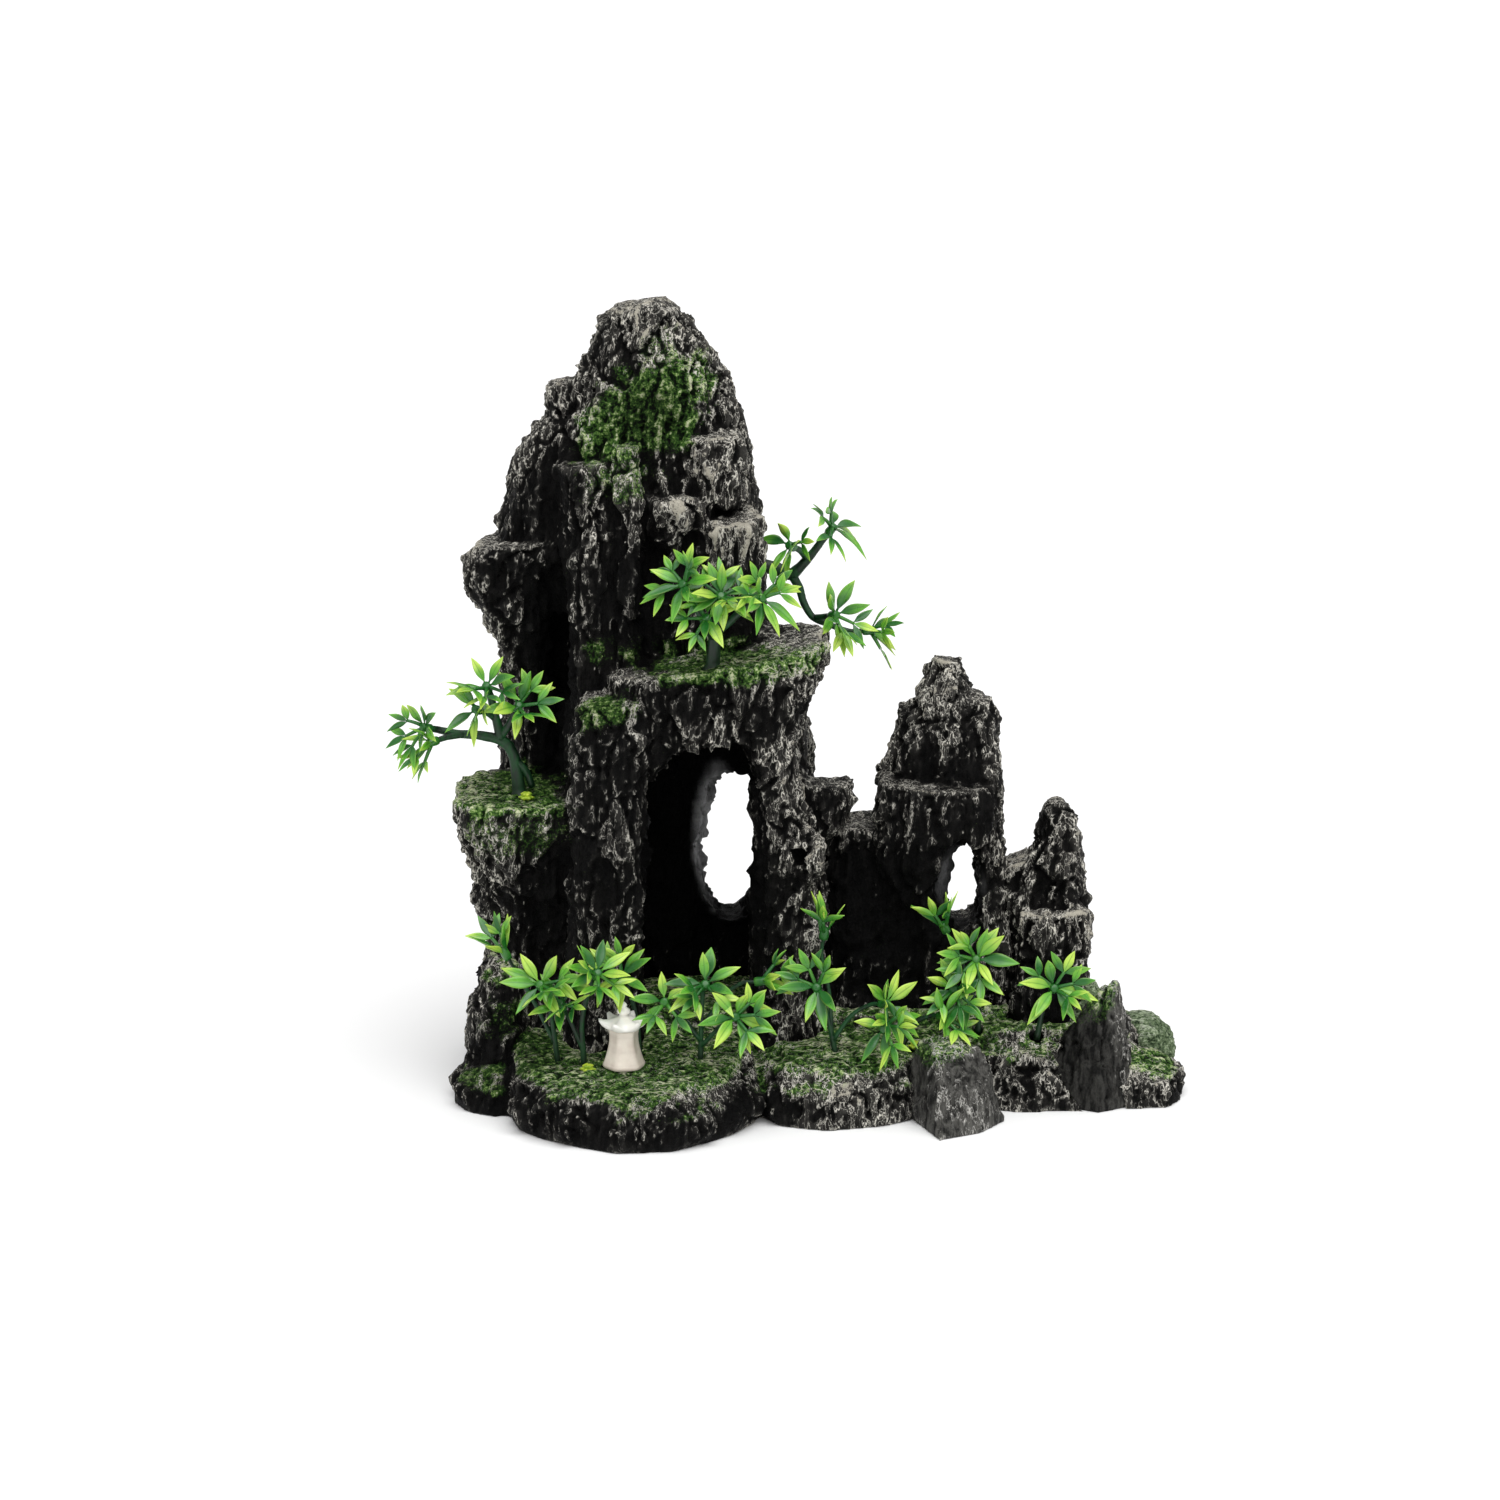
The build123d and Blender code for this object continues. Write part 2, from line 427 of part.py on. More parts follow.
def along_frames(points):
    """At each point of a line: its direction and a side direction that doesn't twist."""
    frames = []
    side = None
    for k in range(len(points)):
        before, after = points[max(k - 1, 0)], points[min(k + 1, len(points) - 1)]
        ahead = (after - before).normalized()
        start = side or (Vector(0, 1, 0) if abs(ahead.Y) < 0.8 else Vector(1, 0, 0))
        side = (start - ahead * start.dot(ahead)).normalized()
        frames.append((ahead, side))
    return frames


def limb(line, sides=7):
    """A tapering branch through (x, y, z, radius) points."""
    points = [Vector(*p[:3]) for p in line]
    rings = []
    for (_, _, _, radius), point, (ahead, side) in zip(line, points, along_frames(points)):
        up = ahead.cross(side)
        angles = [2 * math.pi * i / sides for i in range(sides)]
        rings.append([point + (side * math.cos(a) + up * math.sin(a)) * radius for a in angles])
    return skin(rings)


def peg(foot, direction, radius, length):
    """A round peg that starts at a point."""
    return Plane(origin=foot, z_dir=direction) * Cylinder(
        radius, length, align=(Align.CENTER, Align.CENTER, Align.MIN))


def tip_of(line):
    """Where a limb ends, and which way it points there."""
    end, before = Vector(*line[-1][:3]), Vector(*line[-2][:3])
    return end, (end - before).normalized()


def clearance_on(rock, foot, away, reach=1.6, search=6.0):
    """How far along a direction a flat foot must move to rest on the rock's nearest face."""
    probe = limb([(*(foot - away * search), reach), (*(foot + away * search), reach)])
    return max((corner.center() - foot).dot(away) for corner in (rock & probe).vertices())


def root_of(limbs):
    """Where a plant stands, and which way it leaves the rock."""
    foot, above = Vector(*limbs[0][0][0][:3]), Vector(*limbs[0][0][1][:3])
    return foot, (above - foot).normalized()


def stem(limbs):
    """A plant's trunk and branches with the root peg and one peg at each branch's end."""
    foot, away = root_of(limbs)
    pieces = [limb(line) for line, _ in limbs]
    pieces.append(peg(foot + away * 0.5, -away, ROOT_PEG_R, ROOT_PEG_LENGTH + 0.5))
    for line, spray in limbs:
        if spray:
            end, ahead = tip_of(line)
            pieces.append(peg(end - ahead * 0.5, ahead, TIP_PEG_R, TIP_PEG_LENGTH + 0.5))
    return pieces[0].fuse(*pieces[1:])


def leaf_lines(foot, axis, seed, rays, spread, length, droop):
    """The leaves of one spray as (base, aim, flat, length, is_stalk); every third is divided.

    The inner leaves stand up along the branch and the outer ones lean out as far as the spread.
    """
    _, side = along_frames([foot, foot + axis])[0]
    up = axis.cross(side)
    leaves = []
    for i in range(rays):
        turn = GOLDEN_TURN * i + 0.3 * chance(seed, i, 1) + seed
        out = side * math.cos(turn) + up * math.sin(turn)
        across = axis.cross(out)
        lean = math.radians(spread * (0.3 + 0.7 * math.sqrt((i + 0.5) / rays)) + 7 * chance(seed, i, 2))
        aim = axis * math.cos(lean) + out * math.sin(lean)
        base = foot + axis * (HUB_LENGTH - 0.7) + out * (0.5 * (HUB_R + HUB_BORE_R))
        size = length * (1 + 0.12 * chance(seed, i, 3))
        if i % 3:
            leaves.append((base, aim, across, size, False))
            continue
        leaves.append((base, aim, across, STALK_LENGTH, True))
        fork = base + aim * (0.86 * STALK_LENGTH) - Vector(0, 0, droop * STALK_LENGTH ** 2)
        for bend in (-50, 0, 50):
            swing = math.radians(bend + 8 * chance(seed, i, 4))
            branch = aim * math.cos(swing) + across * math.sin(swing)
            flat = across * math.cos(swing) - aim * math.sin(swing)
            leaves.append((fork, branch, flat, 0.72 * size, False))
    return leaves


LEAF_OUTLINE = ((0.0, 0.24), (0.16, 0.34), (0.44, 1.0), (0.74, 0.78), (1.0, 0.08))


def leaf(base, aim, flat, length, is_stalk, droop):
    """A thin pointed blade, or the narrow stalk of a divided leaf, that bends down as it goes."""
    rings = []
    for share, fullness in LEAF_OUTLINE:
        travel = length * share
        point = base + aim * travel - Vector(0, 0, droop * travel ** 2)
        half = 0.5 * (STALK_WIDTH if is_stalk else length * LEAF_WIDTH_RATIO * fullness)
        thick = 0.5 * LEAF_THICKNESS * (1.3 if is_stalk else max(fullness, 0.5))
        normal = aim.cross(flat)
        rings.append([point + flat * half, point + normal * thick, point - flat * half,
                      point - normal * thick])
    return skin(rings)


def spray_of(line, seed, rays, spread, length, droop):
    """A push-on spray: a collar with a blind bore and its leaves."""
    foot, axis = tip_of(line)
    collar = peg(foot, axis, HUB_R, HUB_LENGTH)
    leaves = [leaf(*each, droop) for each in leaf_lines(foot, axis, seed, rays, spread, length, droop)]
    return biggest(collar.fuse(*leaves) - peg(foot - axis, axis, HUB_BORE_R, HUB_BORE_DEPTH + 1))


def trimmed(spray, others):
    """A spray without the leaf ends that would run into the other pieces."""
    box = spray.bounding_box()
    near = [other for other in others if boxes_meet(box, other.bounding_box())]
    return biggest(spray.cut(*near)) if near else spray


def planted(rocks, trinkets):
    """Stems and sprays by name, and the same rocks with a socket under each plant."""
    stems, lines = {}, {}
    for number, (plant, (rock_name, limbs)) in enumerate(PLANTS.items()):
        foot, away = root_of(limbs)
        shift = away * clearance_on(rocks[rock_name], foot, away)
        standing = [([(*(Vector(*p[:3]) + shift), p[3]) for p in line], spray)
                    for line, spray in limbs]
        stems[f"{plant}_stem"] = stem(standing)
        sprays = [(line, spray) for line, spray in standing if spray]
        for k, (line, spray) in enumerate(sprays):
            lines[f"{plant}_leaves_{k + 1}"] = (line, 10 * number + k, *spray)
        socket = peg(foot + shift + away * 3, -away, ROOT_SOCKET_R, ROOT_SOCKET_DEPTH + 3)
        rocks[rock_name] = biggest(rocks[rock_name] - socket)
    in_the_way = [*rocks.values(), *trinkets, *stems.values()]
    sprays = {}
    for name, line in lines.items():
        sprays[name] = trimmed(spray_of(*line), in_the_way)
        in_the_way.append(sprays[name])
    return {**stems, **sprays}


# ---------------------------------------------------------------- lantern
def hexagon(radius, z, lift=0.0, pinch=1.0):
    """Twelve points round a hexagon: corners raised by lift, middles of sides drawn in by pinch."""
    ring = []
    for i in range(12):
        angle = math.radians(30 * i + 10)
        is_corner = i % 2 == 0
        reach = radius if is_corner else radius * 0.866 * pinch
        height = z + (lift if is_corner else 0.0)
        ring.append(Vector(LANTERN_FOOT[0] + reach * math.cos(angle),
                           LANTERN_FOOT[1] + reach * math.sin(angle), height))
    return ring


def lantern_body(foot_z):
    top = foot_z + LANTERN_BODY_HEIGHT
    shell = skin([
        hexagon(LANTERN_FOOT_R, foot_z), hexagon(LANTERN_FOOT_R, foot_z + 0.9),
        hexagon(4.3, foot_z + 2.6), hexagon(3.7, foot_z + 4.8), hexagon(LANTERN_NECK_R, foot_z + 7),
        hexagon(3.6, top)])
    spigot_hole = peg(Vector(*LANTERN_FOOT, top + 1), Vector(0, 0, -1), 1.1, 3.0)
    return shell - spigot_hole


def lantern_roof(foot_z):
    eaves = foot_z + LANTERN_BODY_HEIGHT
    roof = skin([
        hexagon(3.9, eaves), hexagon(LANTERN_EAVES_R - 0.5, eaves + 0.7, lift=0.7, pinch=0.86),
        hexagon(LANTERN_EAVES_R, eaves + 1.4, lift=1.4, pinch=0.8),
        hexagon(4.0, eaves + 2.3, lift=0.4, pinch=0.95), hexagon(1.6, eaves + 3.1),
        hexagon(0.9, eaves + 3.6), hexagon(1.5, eaves + 4.4), hexagon(1.3, eaves + 5.1),
        hexagon(0.5, eaves + 5.9), hexagon(0.2, foot_z + LANTERN_HEIGHT)])
    spigot = peg(Vector(*LANTERN_FOOT, eaves + 1), Vector(0, 0, -1), 1.0, 2.8)
    return roof + spigot


# ---------------------------------------------------------------- buds
BUDS = [("left_ledge_bud", "main_peak", -67.5, -4.5, 72), ("lantern_bud", "base_plinth", -52.8, -29, 15),
        ("front_bud", "base_plinth", 23, -16, 16)]


def bud(x, y, z):
    """A low six-pointed bud with a flat underside."""
    def star(reach, height):
        return [Vector(x + reach * (1.0 if i % 2 else 0.62) * math.cos(math.radians(30 * i)),
                       y + reach * (1.0 if i % 2 else 0.62) * math.sin(math.radians(30 * i)),
                       z + height) for i in range(12)]
    return skin([star(1.3, 0.0), star(1.9, 0.7), star(1.4, 1.5), star(0.4, 1.9)])


# ---------------------------------------------------------------- write
def main():
    os.makedirs("parts", exist_ok=True)
    rocks = fitted_rocks()
    up = Vector(0, 0, 1)
    pieces = {}
    for name, rock_name, x, y, z in BUDS:
        pieces[name] = bud(x, y, z + clearance_on(rocks[rock_name], Vector(x, y, z), up))
    foot = Vector(*LANTERN_FOOT, LOBE_TOP)
    foot_z = LOBE_TOP + clearance_on(rocks["base_plinth"], foot, up, reach=LANTERN_FOOT_R + 0.2)
    pieces["lantern_body"] = lantern_body(foot_z)
    pieces["lantern_roof"] = lantern_roof(foot_z)
    pieces.update(planted(rocks, list(pieces.values())))
    for name, shape in {**rocks, **pieces}.items():
        shape.label = name
        export_step(shape, f"parts/{name}.step")


main()
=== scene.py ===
import math

import bmesh
import bpy
import numpy as np
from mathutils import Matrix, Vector
from mathutils.bvhtree import BVHTree


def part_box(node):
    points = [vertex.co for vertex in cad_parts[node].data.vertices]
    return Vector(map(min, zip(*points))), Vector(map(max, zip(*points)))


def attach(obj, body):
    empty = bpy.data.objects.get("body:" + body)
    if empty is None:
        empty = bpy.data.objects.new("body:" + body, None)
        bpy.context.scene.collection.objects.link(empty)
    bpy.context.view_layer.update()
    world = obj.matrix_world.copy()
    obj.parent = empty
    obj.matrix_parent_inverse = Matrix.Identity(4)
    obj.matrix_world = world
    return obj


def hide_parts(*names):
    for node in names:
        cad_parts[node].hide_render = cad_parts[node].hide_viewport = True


# The looks of a resin cave ornament: weathered cast rock, moss, plastic plants and a glazed lantern,
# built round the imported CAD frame. Shapes are worked out in millimetres and written in metres.

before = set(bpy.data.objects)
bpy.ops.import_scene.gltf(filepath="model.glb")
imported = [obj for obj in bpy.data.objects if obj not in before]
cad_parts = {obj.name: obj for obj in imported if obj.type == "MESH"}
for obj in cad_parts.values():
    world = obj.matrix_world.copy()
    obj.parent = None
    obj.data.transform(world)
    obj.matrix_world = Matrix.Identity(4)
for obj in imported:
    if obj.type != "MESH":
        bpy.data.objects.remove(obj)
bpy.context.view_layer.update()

MM = 0.001

# ---------------------------------------------------------------- view and light
VIEW_ELEVATION = math.radians(14.0)
VIEW_DISTANCE = 0.90
VIEW_TARGET = Vector((-0.0156, 0.0, 0.082))
VIEW_HALF_ANGLE = math.radians(10.97)
SENSOR = 36.0
FLOOR_SIZE = 12.0
FLOOR_SHIFT = 2.0           # the floor reaches further behind the object than before it
WORLD_STRENGTH = 0.55
LIGHTS = (                  # name, turn to the right, height, power, softness; angles in degrees
    ("key", 22, 66, 2.35, 60),
    ("fill", -40, 35, 0.15, 80),
)

# ---------------------------------------------------------------- rock
VOXEL = 0.8                 # mesh size of the rock, mm
GRAIN_VOXEL = 0.6           # for the small boulders
DEEPEST, HIGHEST = -3.4, 2.6  # limits of the broken surface below and above the CAD one, mm
FLOOR_BAND = (0.3, 4.0)     # the relief fades out towards the floor between these heights, mm
OPEN_RAYS = 7               # rays that look for an overhang, at each point
OPEN_REACH = 22.0           # how far they look, mm
OPEN_START = 0.9            # how far above the surface they start, mm
TURN_PER_RAY = 2.4          # in radians, so that the rays never line up

# ---------------------------------------------------------------- plants, in mm, as in the frame
ROOT_PEG_LENGTH = 4.0
HUB_R = 1.05
HUB_BORE_R = 0.55
HUB_LENGTH = 2.6
# The collar's outline, as (share of HUB_LENGTH, share of HUB_R).
COLLAR = ((-0.1, 0.95), (0.1, 1.05), (0.5, 1.0), (0.85, 0.98), (0.97, 0.8), (1.0, 0.5))
STALK_LENGTH = 4.2
TREE_TRUNK_R = 1.4          # a thicker root makes a tree, a thinner one a low spray
SPRAY_STEM_SHARE = 0.62     # low sprays have thinner stems than their CAD ones
ROOT_FLARE = ((2.5, 0.9), (0.8, 0.45))  # (depth below the ground, share of the flare)
STALK_R = 0.42
LEAF_WIDTH_RATIO = 0.31
LEAF_STRETCH = 1.13         # the finished leaves are longer than their CAD ones
LEAF_THICKNESS = 0.34
LEAF_ROWS = 12
LEAF_COLUMNS = (-1.0, -0.55, 0.0, 0.55, 1.0)  # across, from edge to edge
GOLDEN_TURN = math.radians(137.5)  # from each leaf of a spray to the next


# ================================================================ noise on arrays of points
def lattice(cell, seed):
    """Repeatable values from 0 to 1 at whole-number points."""
    mixed = cell[:, 0] * 374761393 + cell[:, 1] * 668265263 + cell[:, 2] * 1440662683 + seed * 97463477
    mixed = (mixed ^ (mixed >> 13)) & 0xFFFFFFFF
    mixed = (mixed * 1274126177) & 0xFFFFFFFF
    mixed = ((mixed ^ (mixed >> 16)) * 2246822519) & 0xFFFFFFFF
    return ((mixed ^ (mixed >> 15)) & 0xFFFFFF) / float(0xFFFFFF)


def noise(points, seed=0):
    """Smooth noise from -1 to 1."""
    cell = np.floor(points).astype(np.int64)
    part = points - cell
    part = part * part * (3.0 - 2.0 * part)
    total = np.zeros(len(points))
    for corner in np.ndindex(2, 2, 2):
        weight = np.ones(len(points))
        for axis in range(3):
            weight *= part[:, axis] if corner[axis] else 1.0 - part[:, axis]
        total += weight * lattice(cell + np.array(corner), seed)
    return 2.0 * total - 1.0


def layered(points, seed=0, layers=3):
    """Noise at several scales, each half as large and half as strong."""
    total, strength = np.zeros(len(points)), 1.0
    for k in range(layers):
        total += strength * noise(points * 2.03 ** k, seed + 17 * k)
        strength *= 0.5
    return total / 1.75


def ridges(points, seed=0, layers=2):
    """Sharp crests at 1 with rounded hollows down to about 0."""
    total, strength, whole = np.zeros(len(points)), 1.0, 0.0
    for k in range(layers):
        total += strength * (1.0 - np.abs(noise(points * 2.1 ** k, seed + 31 * k))) ** 2
        whole += strength
        strength *= 0.5
    return total / whole


def cells(points, seed=0):
    """Broken blocks: (distance to the nearest block's edge, a value from -1 to 1 for the block)."""
    home = np.floor(points).astype(np.int64)
    nearest = np.full(len(points), 9.0)
    second = np.full(len(points), 9.0)
    value = np.zeros(len(points))
    for step in np.ndindex(3, 3, 3):
        cell = home + np.array(step) - 1
        centre = cell + np.stack([lattice(cell, seed + 5 + k) for k in range(3)], axis=1)
        distance = np.linalg.norm(points - centre, axis=1)
        closer = distance < nearest
        second = np.where(closer, nearest, np.minimum(second, distance))
        value = np.where(closer, 2.0 * lattice(cell, seed + 9) - 1.0, value)
        nearest = np.where(closer, distance, nearest)
    return second - nearest, value


def smoothstep(low, high, value):
    share = np.clip((value - low) / (high - low), 0.0, 1.0)
    return share * share * (3.0 - 2.0 * share)


# ================================================================ mesh helpers
def new_piece(name, mesh, material, node):
    """A finished piece of the ornament, in place of its CAD node."""
    mesh.materials.clear()
    mesh.materials.append(material)
    piece = bpy.data.objects.new(name, mesh)
    bpy.context.scene.collection.objects.link(piece)
    mesh.polygons.foreach_set("use_smooth", np.ones(len(mesh.polygons), bool))
    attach(piece, "root")
    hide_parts(node)
    return piece


def get_points(mesh):
    flat = np.empty(len(mesh.vertices) * 3)
    mesh.vertices.foreach_get("co", flat)
    return flat.reshape(-1, 3) / MM


def set_points(mesh, points):
    mesh.vertices.foreach_set("co", (points * MM).ravel())
    mesh.update()


def get_normals(mesh):
    flat = np.empty(len(mesh.vertices) * 3)
    mesh.vertex_normals.foreach_get("vector", flat)
    return flat.reshape(-1, 3)


def get_edges(mesh):
    flat = np.empty(len(mesh.edges) * 2, dtype=np.int32)
    mesh.edges.foreach_get("vertices", flat)
    return flat.reshape(-1, 2)


def relaxed(values, edges, rounds, pull=0.6):
    """Values at the vertices, evened out along the edges."""
    count = np.bincount(edges.ravel(), minlength=len(values)).astype(float)
    count[count == 0] = 1.0
    values = values.astype(float).copy()
    for _ in range(rounds):
        for axis in range(values.shape[1]):
            column = values[:, axis]
            total = np.bincount(edges[:, 0], column[edges[:, 1]], len(values))
            total += np.bincount(edges[:, 1], column[edges[:, 0]], len(values))
            values[:, axis] = column + pull * (total / count - column)
    return values


def add_value(mesh, name, values):
    """A number at every vertex, for the material to read."""
    layer = mesh.attributes.new(name, "FLOAT", "POINT")
    layer.data.foreach_set("value", np.asarray(values, dtype=np.float32))


def drop_crumbs(mesh):
    """Keeps the largest connected part of a mesh, without the specks that remeshing leaves."""
    whole = bmesh.new()
    whole.from_mesh(mesh)
    unseen, parts = set(whole.verts), []
    while unseen:
        part, queue = [], [unseen.pop()]
        while queue:
            vertex = queue.pop()
            part.append(vertex)
            for edge in vertex.link_edges:
                other = edge.other_vert(vertex)
                if other in unseen:
                    unseen.remove(other)
                    queue.append(other)
        parts.append(part)
    parts.sort(key=len)
    crumbs = [vertex for part in parts[:-1] for vertex in part]
    bmesh.ops.delete(whole, geom=crumbs, context="VERTS")
    whole.to_mesh(mesh)
    whole.free()


def voxel_mesh(node, size):
    """A copy of a CAD node's mesh, remeshed into small even quads."""
    source = bpy.data.objects.new("source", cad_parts[node].data.copy())
    bpy.context.scene.collection.objects.link(source)
    remesh = source.modifiers.new("remesh", "REMESH")
    remesh.mode = "VOXEL"
    remesh.voxel_size = size * MM
    graph = bpy.context.evaluated_depsgraph_get()
    mesh = bpy.data.meshes.new_from_object(source.evaluated_get(graph))
    bpy.data.objects.remove(source)
    drop_crumbs(mesh)
    return mesh


# ================================================================ rock shapes
def wall_relief(points, seed):
    """Broken slabs, bark-like flutes, pits and grit on a steep face, in mm."""
    bend = np.stack([layered(points / 9.0, seed + k) for k in range(3)], axis=1) * 2.6
    bent = points + bend
    edge, block = cells(bent / np.array([7.5, 7.5, 19.0]), seed + 3)
    crack = -0.9 * np.exp(-((edge / 0.06) ** 2))
    flutes = ridges(bent / np.array([4.4, 4.4, 26.0]), seed + 11) - 0.55
    bark = ridges(bent / np.array([2.1, 2.1, 6.5]), seed + 23, 3) - 0.5
    pits = -1.4 * smoothstep(0.42, 0.75, layered(bent / np.array([4.0, 4.0, 5.5]), seed + 29))
    grit = noise(points / 1.05, seed + 41)
    lumps = layered(points / 10.0, seed + 37)
    return 1.3 * block + crack + 2.1 * flutes + 1.9 * bark + pits + 1.2 * lumps + 0.45 * grit


def top_relief(points, seed):
    """Lumpy, granular ground on the ledges, in mm."""
    lumps = layered(points / 7.0, seed + 51)
    crumbs = noise(points / 1.7, seed + 52)
    grains = noise(points / 0.95, seed + 53)
    return 0.8 * lumps + 0.38 * crumbs + 0.28 * grains


def openness(mesh, points, normals):
    """How far each point of the rock lies open, from 0, deep in a hollow, to 1."""
    tree = BVHTree.FromPolygons([tuple(p) for p in points], [tuple(f.vertices) for f in mesh.polygons])
    is_steep = np.abs(normals[:, 2:]) < 0.8
    helper = np.where(is_steep, np.array([[0.0, 0.0, 1.0]]), np.array([[1.0, 0.0, 0.0]]))
    side = np.cross(normals, helper)
    side /= np.linalg.norm(side, axis=1, keepdims=True)
    up = np.cross(normals, side)
    closed = np.zeros(len(points))
    starts = points + normals * OPEN_START
    for k in range(OPEN_RAYS):
        lean = math.asin(math.sqrt((k + 0.5) / OPEN_RAYS))
        turn = TURN_PER_RAY * k
        aims = (normals * math.cos(lean) + side * (math.sin(lean) * math.cos(turn))
                + up * (math.sin(lean) * math.sin(turn)))
        for i, (start, aim) in enumerate(zip(starts.tolist(), aims.tolist())):
            distance = tree.ray_cast(start, aim, OPEN_REACH)[3]
            if distance is not None:
                closed[i] += 1.0 - 0.6 * distance / OPEN_REACH
    return 1.0 - closed / OPEN_RAYS


def in_patches(points, patches, ragged):
    """1 inside any of the rough ellipsoids (centre, half sizes, amount), 0 well outside them all."""
    cover = np.zeros(len(points))
    for centre, half, amount in patches:
        away = np.linalg.norm((points - np.array(centre)) / np.array(half), axis=1)
        cover = np.maximum(cover, amount * smoothstep(1.2, 0.6, away + ragged))
    return cover


def covers(points, normals, seed, level, moss, shade_patches, brushing_and_light, lit_rim):
    """How far each point is mossy, in painted shade (below 0 where painted light and heavier dry-brushing
    make it paler) and under the painted light of a window rim.
    """
    ragged = layered(points / 5.0, seed + 61) * 0.5 + noise(points / 1.6, seed + 62) * 0.28
    green = smoothstep(level - 0.2, level + 0.2, normals[:, 2] + 0.5 * ragged)
    green = np.maximum(green, in_patches(points, moss, 0.7 * ragged))
    # pale is painted light: the pale grey of a window rim lit from behind through its opening.
    pale = in_patches(points, lit_rim, 0.2 * ragged)
    # dark is painted shade over the unlit cave and recesses, kept off the lit window rims.
    dark = in_patches(points, shade_patches, 0.35 * ragged) * (1.0 - pale)
    # Patches of painted light, with heavier dry-brushing, lower the shade value below 0 where the light
    # falls.
    return green, dark - in_patches(points, brushing_and_light, 0.35 * ragged), pale


def relief(points, flat, green, seed, strength):
    """How far the broken surface stands off the CAD one, in mm."""
    height = (1.0 - flat) * wall_relief(points, seed) + flat * top_relief(points, seed)
    height += green * (0.25 + 0.55 * noise(points / 1.3, seed + 71))
    return np.clip(height, DEEPEST, HIGHEST) * smoothstep(*FLOOR_BAND, points[:, 2]) * strength


def weathered(node, seed, voxel, material, level=1.6, strength=1.0,
              moss=(), shade_patches=(), brushing_and_light=(), lit_rim=()):
    """A CAD rock with its broken surface, and the values that its paint follows.

    Ground flatter than the level is mossy all over, and strength scales the relief. The four patch
    lists hold rough ellipsoids (centre, half sizes, amount), in order: of moss, of painted shade, of
    heavier dry-brushing with painted light, and of painted light on window rims lit from behind.
    """
    mesh = voxel_mesh(node, voxel)
    edges = get_edges(mesh)
    points = relaxed(get_points(mesh), edges, 3)
    set_points(mesh, points)
    normals = relaxed(get_normals(mesh), edges, 5)
    normals /= np.maximum(np.linalg.norm(normals, axis=1, keepdims=True), 1e-6)
    green, dark, pale = covers(points, normals, seed, level, moss, shade_patches, brushing_and_light, lit_rim)
    flat = smoothstep(0.5, 0.85, normals[:, 2])
    points = points + normals * relief(points, flat, green, seed, strength)[:, None]
    points[:, 2] = np.maximum(points[:, 2], 0.0)
    set_points(mesh, points)

    final = get_normals(mesh)
    fine = np.einsum("ij,ij->i", points - relaxed(points, edges, 3), final)
    broad = np.einsum("ij,ij->i", points - relaxed(points, edges, 14), final)
    # The open value sets painted shade: points closed in by rock get painted darker with less dry-brushing;
    # flat tops count as more open, and the lit window rims as fully open.
    wide = np.maximum(openness(mesh, points, normals) + 0.25 * flat, pale)
    crest = 0.5 + 0.6 * fine + 0.14 * broad + 0.2 * flat * (1.0 - green)
    add_value(mesh, "crest", np.clip(crest, 0.0, 1.0))
    add_value(mesh, "open", relaxed(wide[:, None], edges, 2)[:, 0])
    add_value(mesh, "moss", green)
    add_value(mesh, "shade", dark)
    add_value(mesh, "lit_rim", pale)
    return new_piece(node + "_cast", mesh, material, node)


